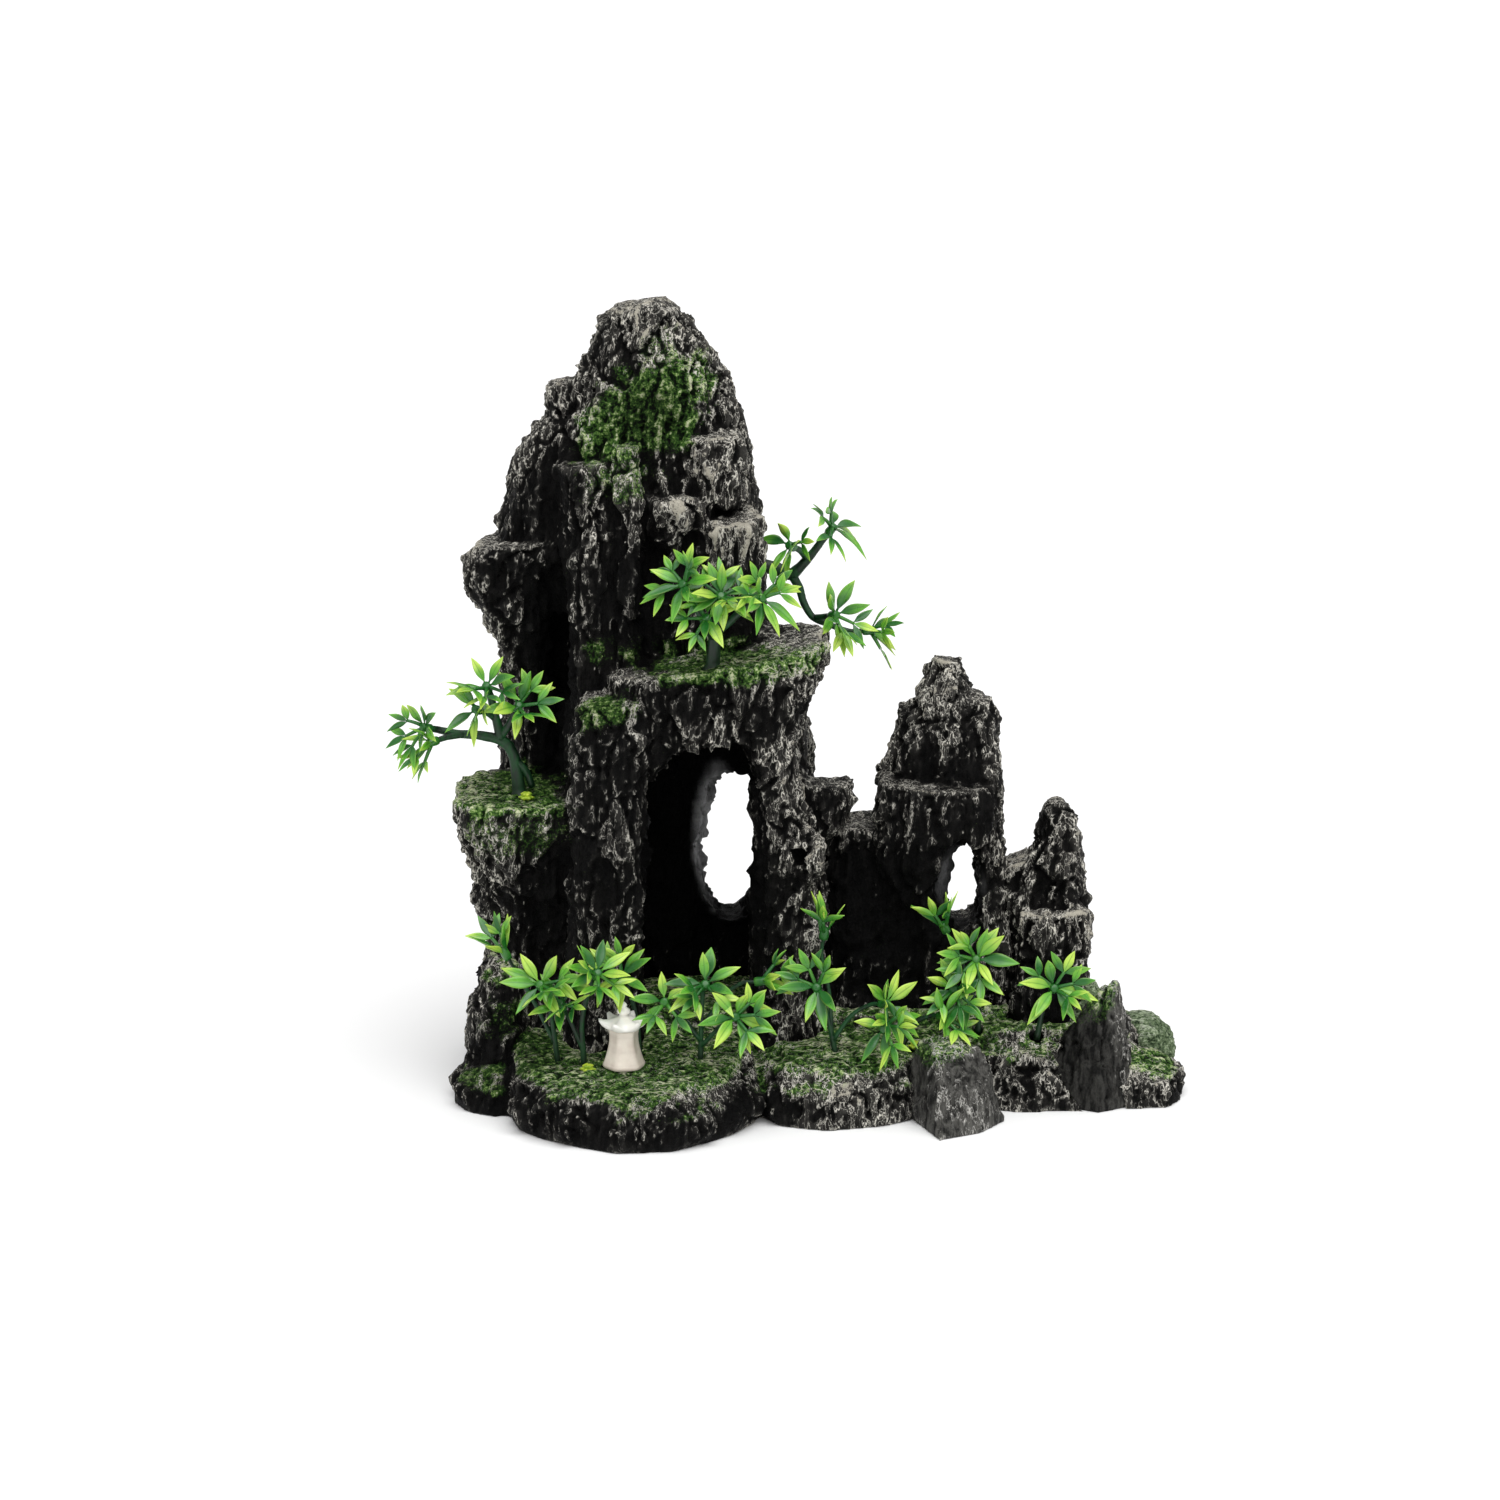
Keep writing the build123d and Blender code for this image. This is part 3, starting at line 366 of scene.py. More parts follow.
# ================================================================ materials
class Nodes:
    """A short way to write one node material."""

    def __init__(self, name):
        self.material = bpy.data.materials.new(name)
        self.material.use_nodes = True
        self.tree = self.material.node_tree
        self.shader = self.tree.nodes["Principled BSDF"]
        self.place = self.add("ShaderNodeTexCoord").outputs["Object"]

    def add(self, kind, **settings):
        node = self.tree.nodes.new(kind)
        for key, value in settings.items():
            setattr(node, key, value)
        return node

    def feed(self, socket, value):
        if isinstance(value, bpy.types.NodeSocket):
            self.tree.links.new(value, socket)
        else:
            socket.default_value = value

    def noise(self, scale, detail=4.0, rough=0.55, stretch=None):
        """Noise from 0 to 1; scale is in features per metre."""
        node = self.add("ShaderNodeTexNoise")
        self.feed(node.inputs["Vector"], self.stretched(stretch) if stretch else self.place)
        self.feed(node.inputs["Scale"], scale)
        self.feed(node.inputs["Detail"], detail)
        self.feed(node.inputs["Roughness"], rough)
        return node.outputs["Fac"]

    def stretched(self, factors):
        node = self.add("ShaderNodeMapping")
        self.feed(node.inputs["Vector"], self.place)
        self.feed(node.inputs["Scale"], factors)
        return node.outputs["Vector"]

    def value(self, name):
        return self.add("ShaderNodeAttribute", attribute_name=name).outputs["Fac"]

    def math(self, operation, a, b=0.0):
        node = self.add("ShaderNodeMath", operation=operation)
        self.feed(node.inputs[0], a)
        self.feed(node.inputs[1], b)
        return node.outputs[0]

    def span(self, value, low, high, to_low=0.0, to_high=1.0):
        """A value between low and high, spread smoothly to the new limits."""
        node = self.add("ShaderNodeMapRange", interpolation_type="SMOOTHSTEP")
        for key, number in (("Value", value), ("From Min", low), ("From Max", high),
                            ("To Min", to_low), ("To Max", to_high)):
            self.feed(node.inputs[key], number)
        return node.outputs["Result"]

    def centred(self, value, strength, middle=0.5):
        """How far a value is from its middle, times a strength."""
        return self.math("MULTIPLY", self.math("SUBTRACT", value, middle), strength)

    def thin(self, value, width):
        """1 on the thin lines where a noise crosses its middle."""
        return self.span(self.math("ABSOLUTE", self.math("SUBTRACT", value, 0.5)), 0.0, width, 1.0, 0.0)

    def mix(self, share, a, b):
        """Colour a, turning to colour b as share goes to 1."""
        node = self.add("ShaderNodeMix", data_type="RGBA")
        self.feed(node.inputs["Factor"], share)
        self.feed(node.inputs["A"], a)
        self.feed(node.inputs["B"], b)
        return node.outputs["Result"]

    def bump(self, height, strength, depth):
        node = self.add("ShaderNodeBump")
        self.feed(node.inputs["Height"], height)
        self.feed(node.inputs["Strength"], strength)
        self.feed(node.inputs["Distance"], depth)
        self.tree.links.new(node.outputs["Normal"], self.shader.inputs["Normal"])

    def paint(self, color, roughness):
        self.feed(self.shader.inputs["Base Color"], color)
        self.feed(self.shader.inputs["Roughness"], roughness)
        return self.material


def rgb(red, green, blue):
    """A colour from its usual 0 to 255 values."""
    def linear(c):
        c /= 255.0
        return c / 12.92 if c <= 0.04045 else ((c + 0.055) / 1.055) ** 2.4
    return (linear(red), linear(green), linear(blue), 1.0)


# Tones that all the rocks share.
DUST_AND_LIGHT_TONE, SPECK_TONE, RIM_TONE = rgb(84, 82, 78), rgb(98, 97, 94), rgb(200, 194, 178)
# Painted shade is near black; painted light on window rims lit from behind is pale grey.
PAINTED_SHADE_TONE, LIT_RIM_TONE = rgb(4, 4, 4), rgb(226, 226, 228)


def stone_color(nodes, brushed_and_lit, fleck, streak, body_tones, vein_tone):
    """Stone with dry-brushing that also carries painted light and shade, as (its colour, its veins, the
    share of them that shows).
    """
    dark, mid = body_tones
    color = nodes.mix(nodes.span(streak, 0.36, 0.66), dark, mid)
    # A soft mid-grey over the raised, open forms: a dusting of dry-brush paint, and painted light that
    # shades the forms.
    dust_and_light = nodes.math("ADD", brushed_and_lit, nodes.centred(streak, 0.6))
    color = nodes.mix(nodes.span(dust_and_light, 0.56, 1.12, 0.0, 0.45), color, DUST_AND_LIGHT_TONE)
    speck = nodes.math("ADD", fleck, nodes.centred(brushed_and_lit, 0.55, 0.6))
    color = nodes.mix(nodes.span(speck, 0.72, 0.92, 0.0, 0.35), color, SPECK_TONE)
    vein = nodes.math("MAXIMUM", nodes.thin(nodes.noise(360.0, 3.0, 0.6, (1.0, 1.0, 0.36)), 0.028),
                      nodes.thin(nodes.noise(820.0, 2.0, 0.6, (1.0, 1.0, 0.3)), 0.02))
    scratch = nodes.math("MULTIPLY", vein, nodes.span(brushed_and_lit, 0.62, 0.95))
    color = nodes.mix(nodes.math("MULTIPLY", scratch, nodes.span(fleck, 0.3, 0.46)), color, vein_tone)
    rim = nodes.math("ADD", brushed_and_lit, nodes.centred(fleck, 0.9))
    return nodes.mix(nodes.span(rim, 1.16, 1.38, 0.0, 0.8), color, RIM_TONE), vein, scratch


def moss_color(nodes, crest, brushed_and_lit, moss_tones):
    """Tufts from dark green to pale, with straw-coloured dashes on the higher ones."""
    dark, mid, light, pale = moss_tones
    tuft = nodes.noise(1150.0, 3.0, 0.7)
    lit = nodes.math("ADD", tuft, nodes.centred(crest, 0.4))
    green = nodes.mix(nodes.span(lit, 0.38, 0.54), dark, mid)
    green = nodes.mix(nodes.span(lit, 0.54, 0.70), green, light)
    dusted = nodes.math("ADD", tuft, nodes.centred(crest, 0.5))
    green = nodes.mix(nodes.span(dusted, 0.64, 0.82), green, pale)
    dash = nodes.thin(nodes.noise(330.0, 3.0, 0.6, (0.3, 1.0, 1.0)), 0.026)
    straw = nodes.math("MULTIPLY", dash, nodes.span(brushed_and_lit, 0.6, 1.0))
    return nodes.mix(nodes.math("MULTIPLY", straw, 0.85), green, pale)


def rock_paint(name, moss_tones, body_tones, vein_tone):
    """Charcoal resin with painted shade in the hollows and unlit recesses, painted light on window rims lit
    from behind, cream dry-brushing on the crests, and moss.
    """
    nodes = Nodes(name)
    crest, moss, shade, wide = (nodes.value(key) for key in ("crest", "moss", "shade", "open"))
    fleck = nodes.noise(1900.0, 3.0, 0.72)
    streak = nodes.noise(650.0, 4.0, 0.65, (1.0, 1.0, 0.2))
    patchy = nodes.centred(nodes.noise(90.0, 3.0), 1.3, 0.512)
    # How much paler the stone is painted: dry-brushing on the crests, lowered as painted shade where the
    # rock is closed in or under a shade patch, raised as painted light where a light patch lies.
    brushed_and_lit = nodes.math("ADD", nodes.math("ADD", crest, patchy), nodes.centred(wide, 0.7, 0.68))
    brushed_and_lit = nodes.math("SUBTRACT", brushed_and_lit, nodes.math("MULTIPLY", shade, 0.45))
    stone, vein, scratch = stone_color(nodes, brushed_and_lit, fleck, streak, body_tones, vein_tone)
    worn = nodes.math("ADD", moss, nodes.centred(fleck, 1.5))
    worn = nodes.math("SUBTRACT", worn, nodes.math("MULTIPLY", scratch, 0.5))
    color = nodes.mix(nodes.span(worn, 0.2, 0.7), stone, moss_color(nodes, crest, brushed_and_lit, moss_tones))
    # Painted shade: closed-in points and the shade patches turn near black.
    hollow = nodes.span(wide, 0.25, 0.72, 0.94, 0.0)
    color = nodes.mix(nodes.math("MAXIMUM", hollow, nodes.math("MULTIPLY", shade, 0.8)), color, PAINTED_SHADE_TONE)
    # Painted light: window rims lit from behind turn pale grey.
    color = nodes.mix(nodes.value("lit_rim"), color, LIT_RIM_TONE)
    grain = nodes.math("ADD", nodes.math("ADD", fleck, streak), nodes.math("MULTIPLY", vein, 0.3))
    nodes.bump(grain, 0.8, 0.0008)
    nodes.feed(nodes.shader.inputs["Specular IOR Level"], 0.08)
    return nodes.paint(color, nodes.span(worn, 0.25, 0.75, 0.55, 0.9))


def leaf_paint():
    """Moulded leaf: dark at its foot, yellow-green at its tip and edges, with a darker midrib."""
    nodes = Nodes("leaf")
    along, across = nodes.value("along"), nodes.value("across")
    tone = nodes.noise(130.0, 2.0)
    reach = nodes.math("ADD", along, nodes.centred(tone, 1.3))
    reach = nodes.math("ADD", reach, nodes.centred(nodes.value("age"), 1.1))
    color = nodes.mix(nodes.span(reach, 0.0, 0.6), rgb(30, 98, 32), rgb(98, 168, 50))
    color = nodes.mix(nodes.span(reach, 0.55, 1.25), color, rgb(188, 220, 88))
    edge = nodes.math("MULTIPLY", nodes.span(across, 0.7, 1.0), nodes.span(along, 0.1, 0.5))
    color = nodes.mix(nodes.math("MULTIPLY", edge, 0.2), color, rgb(196, 222, 96))
    rib = nodes.span(across, 0.0, 0.2, 1.0, 0.0)
    color = nodes.mix(nodes.math("MULTIPLY", rib, 0.5), color, rgb(26, 100, 26))
    nodes.feed(nodes.shader.inputs["Specular IOR Level"], 0.55)
    nodes.feed(nodes.shader.inputs["Subsurface Weight"], 0.1)
    nodes.feed(nodes.shader.inputs["Subsurface Radius"], (0.0015, 0.003, 0.0008))
    nodes.bump(nodes.noise(1500.0, 2.0), 0.1, 0.0003)
    return nodes.paint(color, nodes.span(nodes.noise(400.0, 2.0), 0.3, 0.7, 0.24, 0.4))


def stem_paint():
    nodes = Nodes("stem")
    streak = nodes.noise(500.0, 3.0, 0.6, (1.0, 1.0, 0.4))
    rise = nodes.value("along")
    color = nodes.mix(nodes.span(streak, 0.35, 0.68), rgb(6, 34, 16), rgb(18, 78, 34))
    color = nodes.mix(nodes.span(rise, 0.0, 0.4, 0.6, 0.0), color, rgb(10, 22, 12))
    nodes.bump(nodes.noise(900.0, 3.0, 0.6, (1.0, 1.0, 0.4)), 0.35, 0.0004)
    return nodes.paint(color, nodes.span(streak, 0.3, 0.7, 0.4, 0.6))


def bud_paint():
    nodes = Nodes("bud")
    color = nodes.mix(nodes.span(nodes.noise(600.0), 0.35, 0.7), rgb(120, 160, 30), rgb(206, 222, 70))
    nodes.bump(nodes.noise(1400.0), 0.3, 0.0004)
    return nodes.paint(color, 0.45)


def glaze_paint(name, base, worn):
    """Cast and glazed: a pale colour in cloudy patches, a little darker on every other ring."""
    nodes = Nodes(name)
    crest = nodes.value("crest")
    cloud = nodes.noise(260.0, 4.0)
    color = nodes.mix(nodes.span(cloud, 0.35, 0.7), base, worn)
    color = nodes.mix(nodes.span(crest, 0.25, 0.5, 0.6, 0.0), color, rgb(120, 108, 98))
    nodes.bump(nodes.noise(1200.0), 0.12, 0.0004)
    nodes.feed(nodes.shader.inputs["Coat Weight"], 0.25)
    nodes.feed(nodes.shader.inputs["Coat Roughness"], 0.2)
    return nodes.paint(color, nodes.span(cloud, 0.3, 0.7, 0.32, 0.5))


# ================================================================ plants
# Each plant's limbs: its (x, y, z, radius) points in mm, from the root outwards, and its spray of
# leaves as (how many, spread in degrees, length, droop), or None on a limb without leaves.
PLANTS = {
    "left_tree": [
        ([(-69.5, 1, 72, 1.6), (-70, 1, 77, 1.4), (-70.8, 1, 81, 1.3), (-73, 1, 84, 1.25),
          (-78, 1, 85.4, 1.1), (-84, 0.6, 86, 0.95), (-87.8, 0, 87, 0.85), (-89.8, -1.8, 87.8, 0.75)],
         (8, 80, 6.8, 0.03)),
        ([(-82, 0.8, 85.8, 0.85), (-86, -1.4, 85.6, 0.75), (-88.2, -3, 85.2, 0.65)], (6, 56, 6.2, 0.02)),
        ([(-73.6, 1, 84.4, 1.2), (-74.8, 1, 90, 1.0), (-75.8, 0.4, 95, 0.85), (-76.2, -1, 96.6, 0.7)],
         (7, 78, 7.6, 0.015)),
        ([(-75, 1, 89.6, 0.85), (-76.8, -0.6, 91.4, 0.75), (-78, -2.4, 92.2, 0.65)],
         (6, 70, 7.0, 0.02)),
        ([(-73.4, 1, 85.4, 0.9), (-71.4, 0.4, 88.6, 0.85), (-70.2, -0.6, 91.4, 0.75),
          (-69.6, -2.2, 92.6, 0.65)], (8, 78, 7.8, 0.01)),
        ([(-70.9, 1, 80, 1.1), (-68, 1, 77, 0.95), (-66.4, 1, 73, 0.8)], None),
    ],
    "centre_bush": [
        ([(-24, -9.6, 106, 1.7), (-23.8, -9.6, 110, 1.5), (-23.4, -9.8, 115, 1.3),
          (-22.6, -11.4, 119.4, 1.0), (-22.3, -13.6, 121.6, 0.85)], (17, 98, 7.4, 0.01)),
        ([(-23.8, -9.7, 112, 1.0), (-27, -10.4, 118, 0.85), (-29, -11.8, 122.6, 0.75),
          (-30, -13.6, 124.4, 0.7)], (10, 84, 7.2, 0.02)),
        ([(-23.5, -9.8, 113, 1.0), (-18.6, -10.6, 117.6, 0.85), (-15.4, -12, 120.6, 0.75),
          (-14, -13.6, 121.6, 0.7)], (10, 84, 7.4, 0.03)),
        ([(-23.7, -9.7, 111.6, 0.9), (-24.8, -12.4, 115, 0.8), (-25.2, -14.8, 117, 0.7)],
         (8, 80, 6.8, 0.02)),
    ],
    "back_tree": [
        ([(-13.4, 21, 121.6, 1.7), (-10.5, 21, 121, 1.6), (-7.5, 20.5, 119.8, 1.5),
          (-5.6, 20, 121, 1.3), (-2.4, 20, 124.6, 1.0), (0.4, 19.6, 128.4, 0.85),
          (1.6, 19, 130, 0.75)], (8, 88, 7.6, 0.05)),
        ([(-7.2, 20.6, 120, 1.2), (-5.2, 20, 116.6, 1.05), (-4.2, 19, 113.4, 0.95),
          (-2, 18, 110, 0.85), (1.6, 17.6, 108.4, 0.75), (6.4, 17.2, 106.8, 0.7),
          (10, 16.6, 107, 0.65)], (7, 58, 6.6, 0.02)),
        ([(-3.4, 20, 123.6, 0.9), (-5, 17.6, 126, 0.8), (-6.6, 15.4, 127.2, 0.7)],
         (6, 78, 7.0, 0.04)),
        ([(-1.6, 18, 109.8, 0.85), (0.6, 15.6, 110.6, 0.75), (2.2, 13.2, 111.4, 0.65)],
         (9, 80, 7.6, 0.01)),
    ],
    "far_left_spray": [
        ([(-60.5, -21, 16, 1.1), (-61.5, -21, 24, 0.9), (-62.8, -21.6, 32, 0.8),
          (-63.6, -25, 34.4, 0.7)], (9, 84, 7.7, 0.01)),
        ([(-60.8, -21, 19, 0.85), (-65.6, -20.4, 29, 0.75), (-69.4, -20.4, 36, 0.7),
          (-71.6, -21.4, 40.4, 0.65)], (6, 42, 7.3, 0.0)),
    ],
    "left_spray": [
        ([(-54, -24, 16, 1.1), (-54.4, -24, 26, 0.9), (-52.2, -24, 35, 0.8), (-51, -27, 37.8, 0.7)],
         (9, 82, 7.5, 0.01)),
        ([(-54.1, -24, 19, 0.85), (-57.4, -24.4, 27, 0.75), (-58.6, -27.4, 30.4, 0.7)],
         (7, 76, 6.9, 0.01)),
    ],
    "lantern_spray": [
        ([(-41.4, -19, 16, 1.1), (-42, -18.6, 24, 0.9), (-44, -18.6, 32, 0.8), (-45, -21, 34.4, 0.7)],
         (8, 86, 7.3, 0.012)),
    ],
    "cave_mouth_spray": [
        ([(-27, -22, 16, 1.1), (-26.8, -21.6, 25, 0.9), (-26.4, -22.2, 32, 0.8), (-26, -25.6, 34.2, 0.7)],
         (9, 86, 7.7, 0.02)),
        ([(-27, -22, 20, 0.9), (-31.4, -22.4, 26, 0.8), (-34.2, -24, 29.4, 0.75),
          (-34.8, -27.2, 30.8, 0.7)], (6, 84, 6.6, 0.02)),
        ([(-26.9, -22, 18.6, 0.9), (-22.8, -23.6, 23.6, 0.8), (-20.2, -26.4, 27, 0.75),
          (-19.4, -29.2, 28, 0.7)], (9, 86, 7.7, 0.02)),
        ([(-26.7, -21.8, 23, 0.9), (-21.8, -21.4, 30.4, 0.75), (-17.6, -21.8, 33.8, 0.7),
          (-14.2, -22.6, 34.4, 0.65)], (6, 56, 6.5, 0.0)),
    ],
    "pillar_spray": [
        ([(4, -18, 15, 1.1), (2.6, -17.8, 22, 0.9), (0.6, -18.6, 28.6, 0.8), (0, -22, 30.6, 0.7)],
         (8, 84, 7.7, 0.01)),
        ([(3.4, -18, 18, 0.85), (2.8, -17, 28, 0.75), (1, -17, 37, 0.7), (1.4, -17.6, 41.6, 0.65)],
         (4, 30, 7.3, 0.0)),
        ([(3.8, -18, 17, 0.9), (8, -18, 23, 0.8), (12.2, -19.4, 26, 0.75), (14.6, -22, 27, 0.65)],
         (8, 78, 7.7, 0.01)),
    ],
    "middle_spray": [
        ([(20, -15, 15, 1.1), (22.6, -15, 19.8, 0.9), (26.2, -16, 22, 0.8), (28, -18, 22.6, 0.7)],
         (7, 80, 6.7, 0.01)),
        ([(19.8, -15, 17, 0.85), (17, -18.4, 20.4, 0.75), (15.6, -21.4, 21.8, 0.7),
          (15.2, -24.2, 22, 0.65)], (7, 80, 6.9, 0.03)),
    ],
    "window_spray": [
        ([(38, -7, 16, 1.1), (38, -6.8, 25, 0.9), (37.2, -7.6, 31, 0.8), (37, -11, 33, 0.7)],
         (12, 88, 7.7, 0.01)),
        ([(37.8, -7, 19.5, 0.85), (35, -6.8, 29, 0.75), (31.8, -7.4, 36, 0.7), (30.2, -8.2, 39.4, 0.65)],
         (4, 30, 7.5, 0.0)),
        ([(37.9, -7, 18.6, 0.85), (35.4, -9, 23.4, 0.75), (33, -11.6, 26.4, 0.7),
          (32.2, -14.2, 27.2, 0.65)], (8, 84, 6.9, 0.02)),
    ],
    "right_spray": [
        ([(51.5, -9, 14, 1.1), (52.6, -9.4, 20, 0.9), (53.8, -11, 24, 0.8), (54.2, -14, 25.4, 0.7)],
         (10, 88, 7.7, 0.02)),
    ],
}


def chance(*keys):
    """A repeatable value from -1 to 1 for the given whole numbers."""
    mixed = math.sin(sum(k * f for k, f in zip(keys, (12.9898, 78.233, 37.719)))) * 43758.5453
    return 2.0 * (mixed - math.floor(mixed)) - 1.0


def square_to(direction, start):
    """A unit vector square to a direction, as near as possible to the starting one."""
    return (start - direction * start.dot(direction)).normalized()


def first_side(ahead):
    return square_to(ahead, Vector((0, 1, 0)) if abs(ahead.y) < 0.8 else Vector((1, 0, 0)))


class Shape:
    """Points, faces and point values of a mesh that grows piece by piece."""

    def __init__(self, *value_names):
        self.points, self.faces = [], []
        self.values = {name: [] for name in value_names}

    def add_grid(self, rows, closed, **values):
        """Quads through equal rows of points; closed joins each row's ends. Values are per row."""
        start, width = len(self.points), len(rows[0])
        for k, row in enumerate(rows):
            self.points.extend(row)
            for name, store in self.values.items():
                given = values[name][k]
                store.extend(given if isinstance(given, (list, tuple)) else [given] * width)
        last = width if closed else width - 1
        for k in range(len(rows) - 1):
            for i in range(last):
                j = (i + 1) % width
                low = start + k * width
                self.faces.append((low + i, low + j, low + width + j, low + width + i))
        return start, width

    def cap(self, start, width, flip):
        ring = list(range(start, start + width))
        self.faces.append(tuple(reversed(ring)) if flip else tuple(ring))

    def mesh(self, name):
        mesh = bpy.data.meshes.new(name)
        mesh.from_pydata([tuple(p * MM) for p in self.points], [], self.faces)
        for key, store in self.values.items():
            add_value(mesh, key, store)
        mesh.validate()
        return mesh


def curved(line, steps=5):
    """A smooth line through (x, y, z, radius) points, as (position, radius) pairs."""
    knots = [np.array(p, float) for p in line]
    knots = [2 * knots[0] - knots[1]] + knots + [2 * knots[-1] - knots[-2]]
    out = []
    for a, b, c, d in zip(knots, knots[1:], knots[2:], knots[3:]):
        for k in range(steps):
            t = k / steps
            out.append(0.5 * (2 * b + (c - a) * t + (2 * a - 5 * b + 4 * c - d) * t * t
                              + (3 * b - a - 3 * c + d) * t ** 3))
    out.append(knots[-2])
    return [(Vector(p[:3]), float(p[3])) for p in out]


def add_tube(shape, line, sides, seed, knobbly, **values):
    """A round tube along (position, radius) pairs, with closed ends."""
    side, rows = None, []
    for k, (point, radius) in enumerate(line):
        before, after = line[max(k - 1, 0)][0], line[min(k + 1, len(line) - 1)][0]
        ahead = (after - before).normalized()
        side = square_to(ahead, side) if side else first_side(ahead)
        up = ahead.cross(side)
        row = []
        for i in range(sides):
            angle = 2 * math.pi * i / sides
            swell = 1 + knobbly * (0.6 * chance(seed, i, 3) + 0.4 * chance(seed, i, k + 7))
            row.append(point + (side * math.cos(angle) + up * math.sin(angle)) * radius * swell)
        rows.append(row)
    start, width = shape.add_grid(rows, True, **values)
    shape.cap(start, width, True)
    shape.cap(start + width * (len(rows) - 1), width, False)


def stem_piece(name, limbs, material):
    """A plant's trunk and branches, thicker and rougher towards the root."""
    shape = Shape("along")
    is_tree = limbs[0][0][0][3] > TREE_TRUNK_R
    for number, (line, _) in enumerate(limbs):
        path = [(point, radius * (1.0 if is_tree else SPRAY_STEM_SHARE)) for point, radius in curved(line)]
        if number == 0:
            foot, above = path[0][0], path[1][0]
            down = (foot - above).normalized()
            flare = path[0][1] * (1.0 if is_tree else 0.2)
            root = [(foot + down * depth, path[0][1] + share * flare) for depth, share in ROOT_FLARE]
            path = root + path
        rise = [k / (len(path) - 1) if number == 0 else 0.6 for k in range(len(path))]
        add_tube(shape, path, 12, 7 * number + len(name), 0.11, along=rise)
    return new_piece(name, shape.mesh(name), material, name)


def blade_half_width(share):
    """Half a leaf's width along its length, as a share of the widest."""
    u = min(max((share - 0.1) / 0.9, 0.0), 1.0)
    blade = math.sin(math.pi * u ** 0.82) ** 0.9 * (1.08 - 0.25 * u)
    return max(0.17 * (1 - share) + 0.02, blade)


def add_leaf(shape, base, aim, flat, length, droop, seed):
    """One thin pointed leaf, folded a little along its midrib and curled, with both its faces."""
    half = 0.5 * length * LEAF_WIDTH_RATIO * (1 + 0.12 * chance(seed, 8))
    fold, curl = 0.30 + 0.12 * chance(seed, 5), 0.9 * chance(seed, 6)
    normal = aim.cross(flat)
    if normal.z < 0:
        normal = -normal
    rows, along, across = [], [], []
    for k in range(LEAF_ROWS):
        share = k / (LEAF_ROWS - 1)
        travel = length * share
        middle = base + aim * travel - Vector((0, 0, droop * travel ** 2))
        middle += flat * (0.35 * curl * share ** 2)
        width = half * blade_half_width(share)
        top, under = [], []
        for c in LEAF_COLUMNS:
            lift = fold * width * abs(c) ** 1.2
            wave = 0.10 * width * abs(c) * math.sin(9 * share + seed)
            thick = 0.5 * LEAF_THICKNESS * (1.0 - 0.55 * abs(c)) * (1.1 - 0.6 * share)
            place = middle + flat * (width * c) + normal * (lift + wave)
            top.append(place + normal * thick)
            under.append(place - normal * thick)
        rows.append(top + under[::-1])
        along.append(share)
        across.append([abs(c) for c in LEAF_COLUMNS] * 2)
    age = [0.5 + 0.5 * chance(seed, 4)] * LEAF_ROWS
    start, width = shape.add_grid(rows, True, along=along, across=across, age=age)
    shape.cap(start, width, True)
    shape.cap(start + width * (LEAF_ROWS - 1), width, False)


def leaf_layout(foot, axis, seed, rays, spread, length, droop):
    """The leaves of one spray as (base, aim, flat, length, is_stalk); every third is divided."""
    side = first_side(axis)
    up = axis.cross(side)
    leaves = []
    for i in range(rays):
        turn = GOLDEN_TURN * i + 0.3 * chance(seed, i, 1) + seed
        out = side * math.cos(turn) + up * math.sin(turn)
        across = axis.cross(out)
        lean = math.radians(spread * (0.3 + 0.7 * math.sqrt((i + 0.5) / rays)) + 7 * chance(seed, i, 2))
        aim = axis * math.cos(lean) + out * math.sin(lean)
        base = foot + axis * (HUB_LENGTH - 0.7) + out * (0.5 * (HUB_R + HUB_BORE_R))
        size = length * (1 + 0.12 * chance(seed, i, 3))
        if i % 3:
            leaves.append((base, aim, across, size, False))
            continue
        leaves.append((base, aim, across, STALK_LENGTH, True))
        fork = base + aim * (0.86 * STALK_LENGTH) - Vector((0, 0, droop * STALK_LENGTH ** 2))
        for bend in (-50, 0, 50):
            swing = math.radians(bend + 8 * chance(seed, i, 4))
            branch = aim * math.cos(swing) + across * math.sin(swing)
            flat = across * math.cos(swing) - aim * math.sin(swing)
            leaves.append((fork, branch, flat, 0.72 * size, False))
    return leaves


def spray_piece(name, line, seed, rays, spread, length, droop, material):
    """A collar pushed on a branch tip, with its leaves."""
    foot, before = Vector(line[-1][:3]), Vector(line[-2][:3])
    axis = (foot - before).normalized()
    shape = Shape("along", "across", "age")
    collar = [(foot + axis * (HUB_LENGTH * z), HUB_R * r) for z, r in COLLAR]
    same = [0.5] * len(collar)
    add_tube(shape, collar, 12, seed, 0.04, along=[0.0] * len(collar), across=same, age=same)
    for k, (base, aim, flat, size, is_stalk) in enumerate(
            leaf_layout(foot, axis, seed, rays, spread, length, droop)):
        if is_stalk:
            path = [(base + aim * (size * t) - Vector((0, 0, droop * (size * t) ** 2)),
                     STALK_R * (1.15 - 0.3 * t)) for t in (0.0, 0.25, 0.5, 0.75, 0.95)]
            add_tube(shape, path, 8, seed + k, 0.05, along=[0.1] * 5, across=[0.5] * 5, age=[0.5] * 5)
        else:
            add_leaf(shape, base, aim, flat, size * LEAF_STRETCH, droop, seed * 31 + k)
    return new_piece(name, shape.mesh(name), material, name)


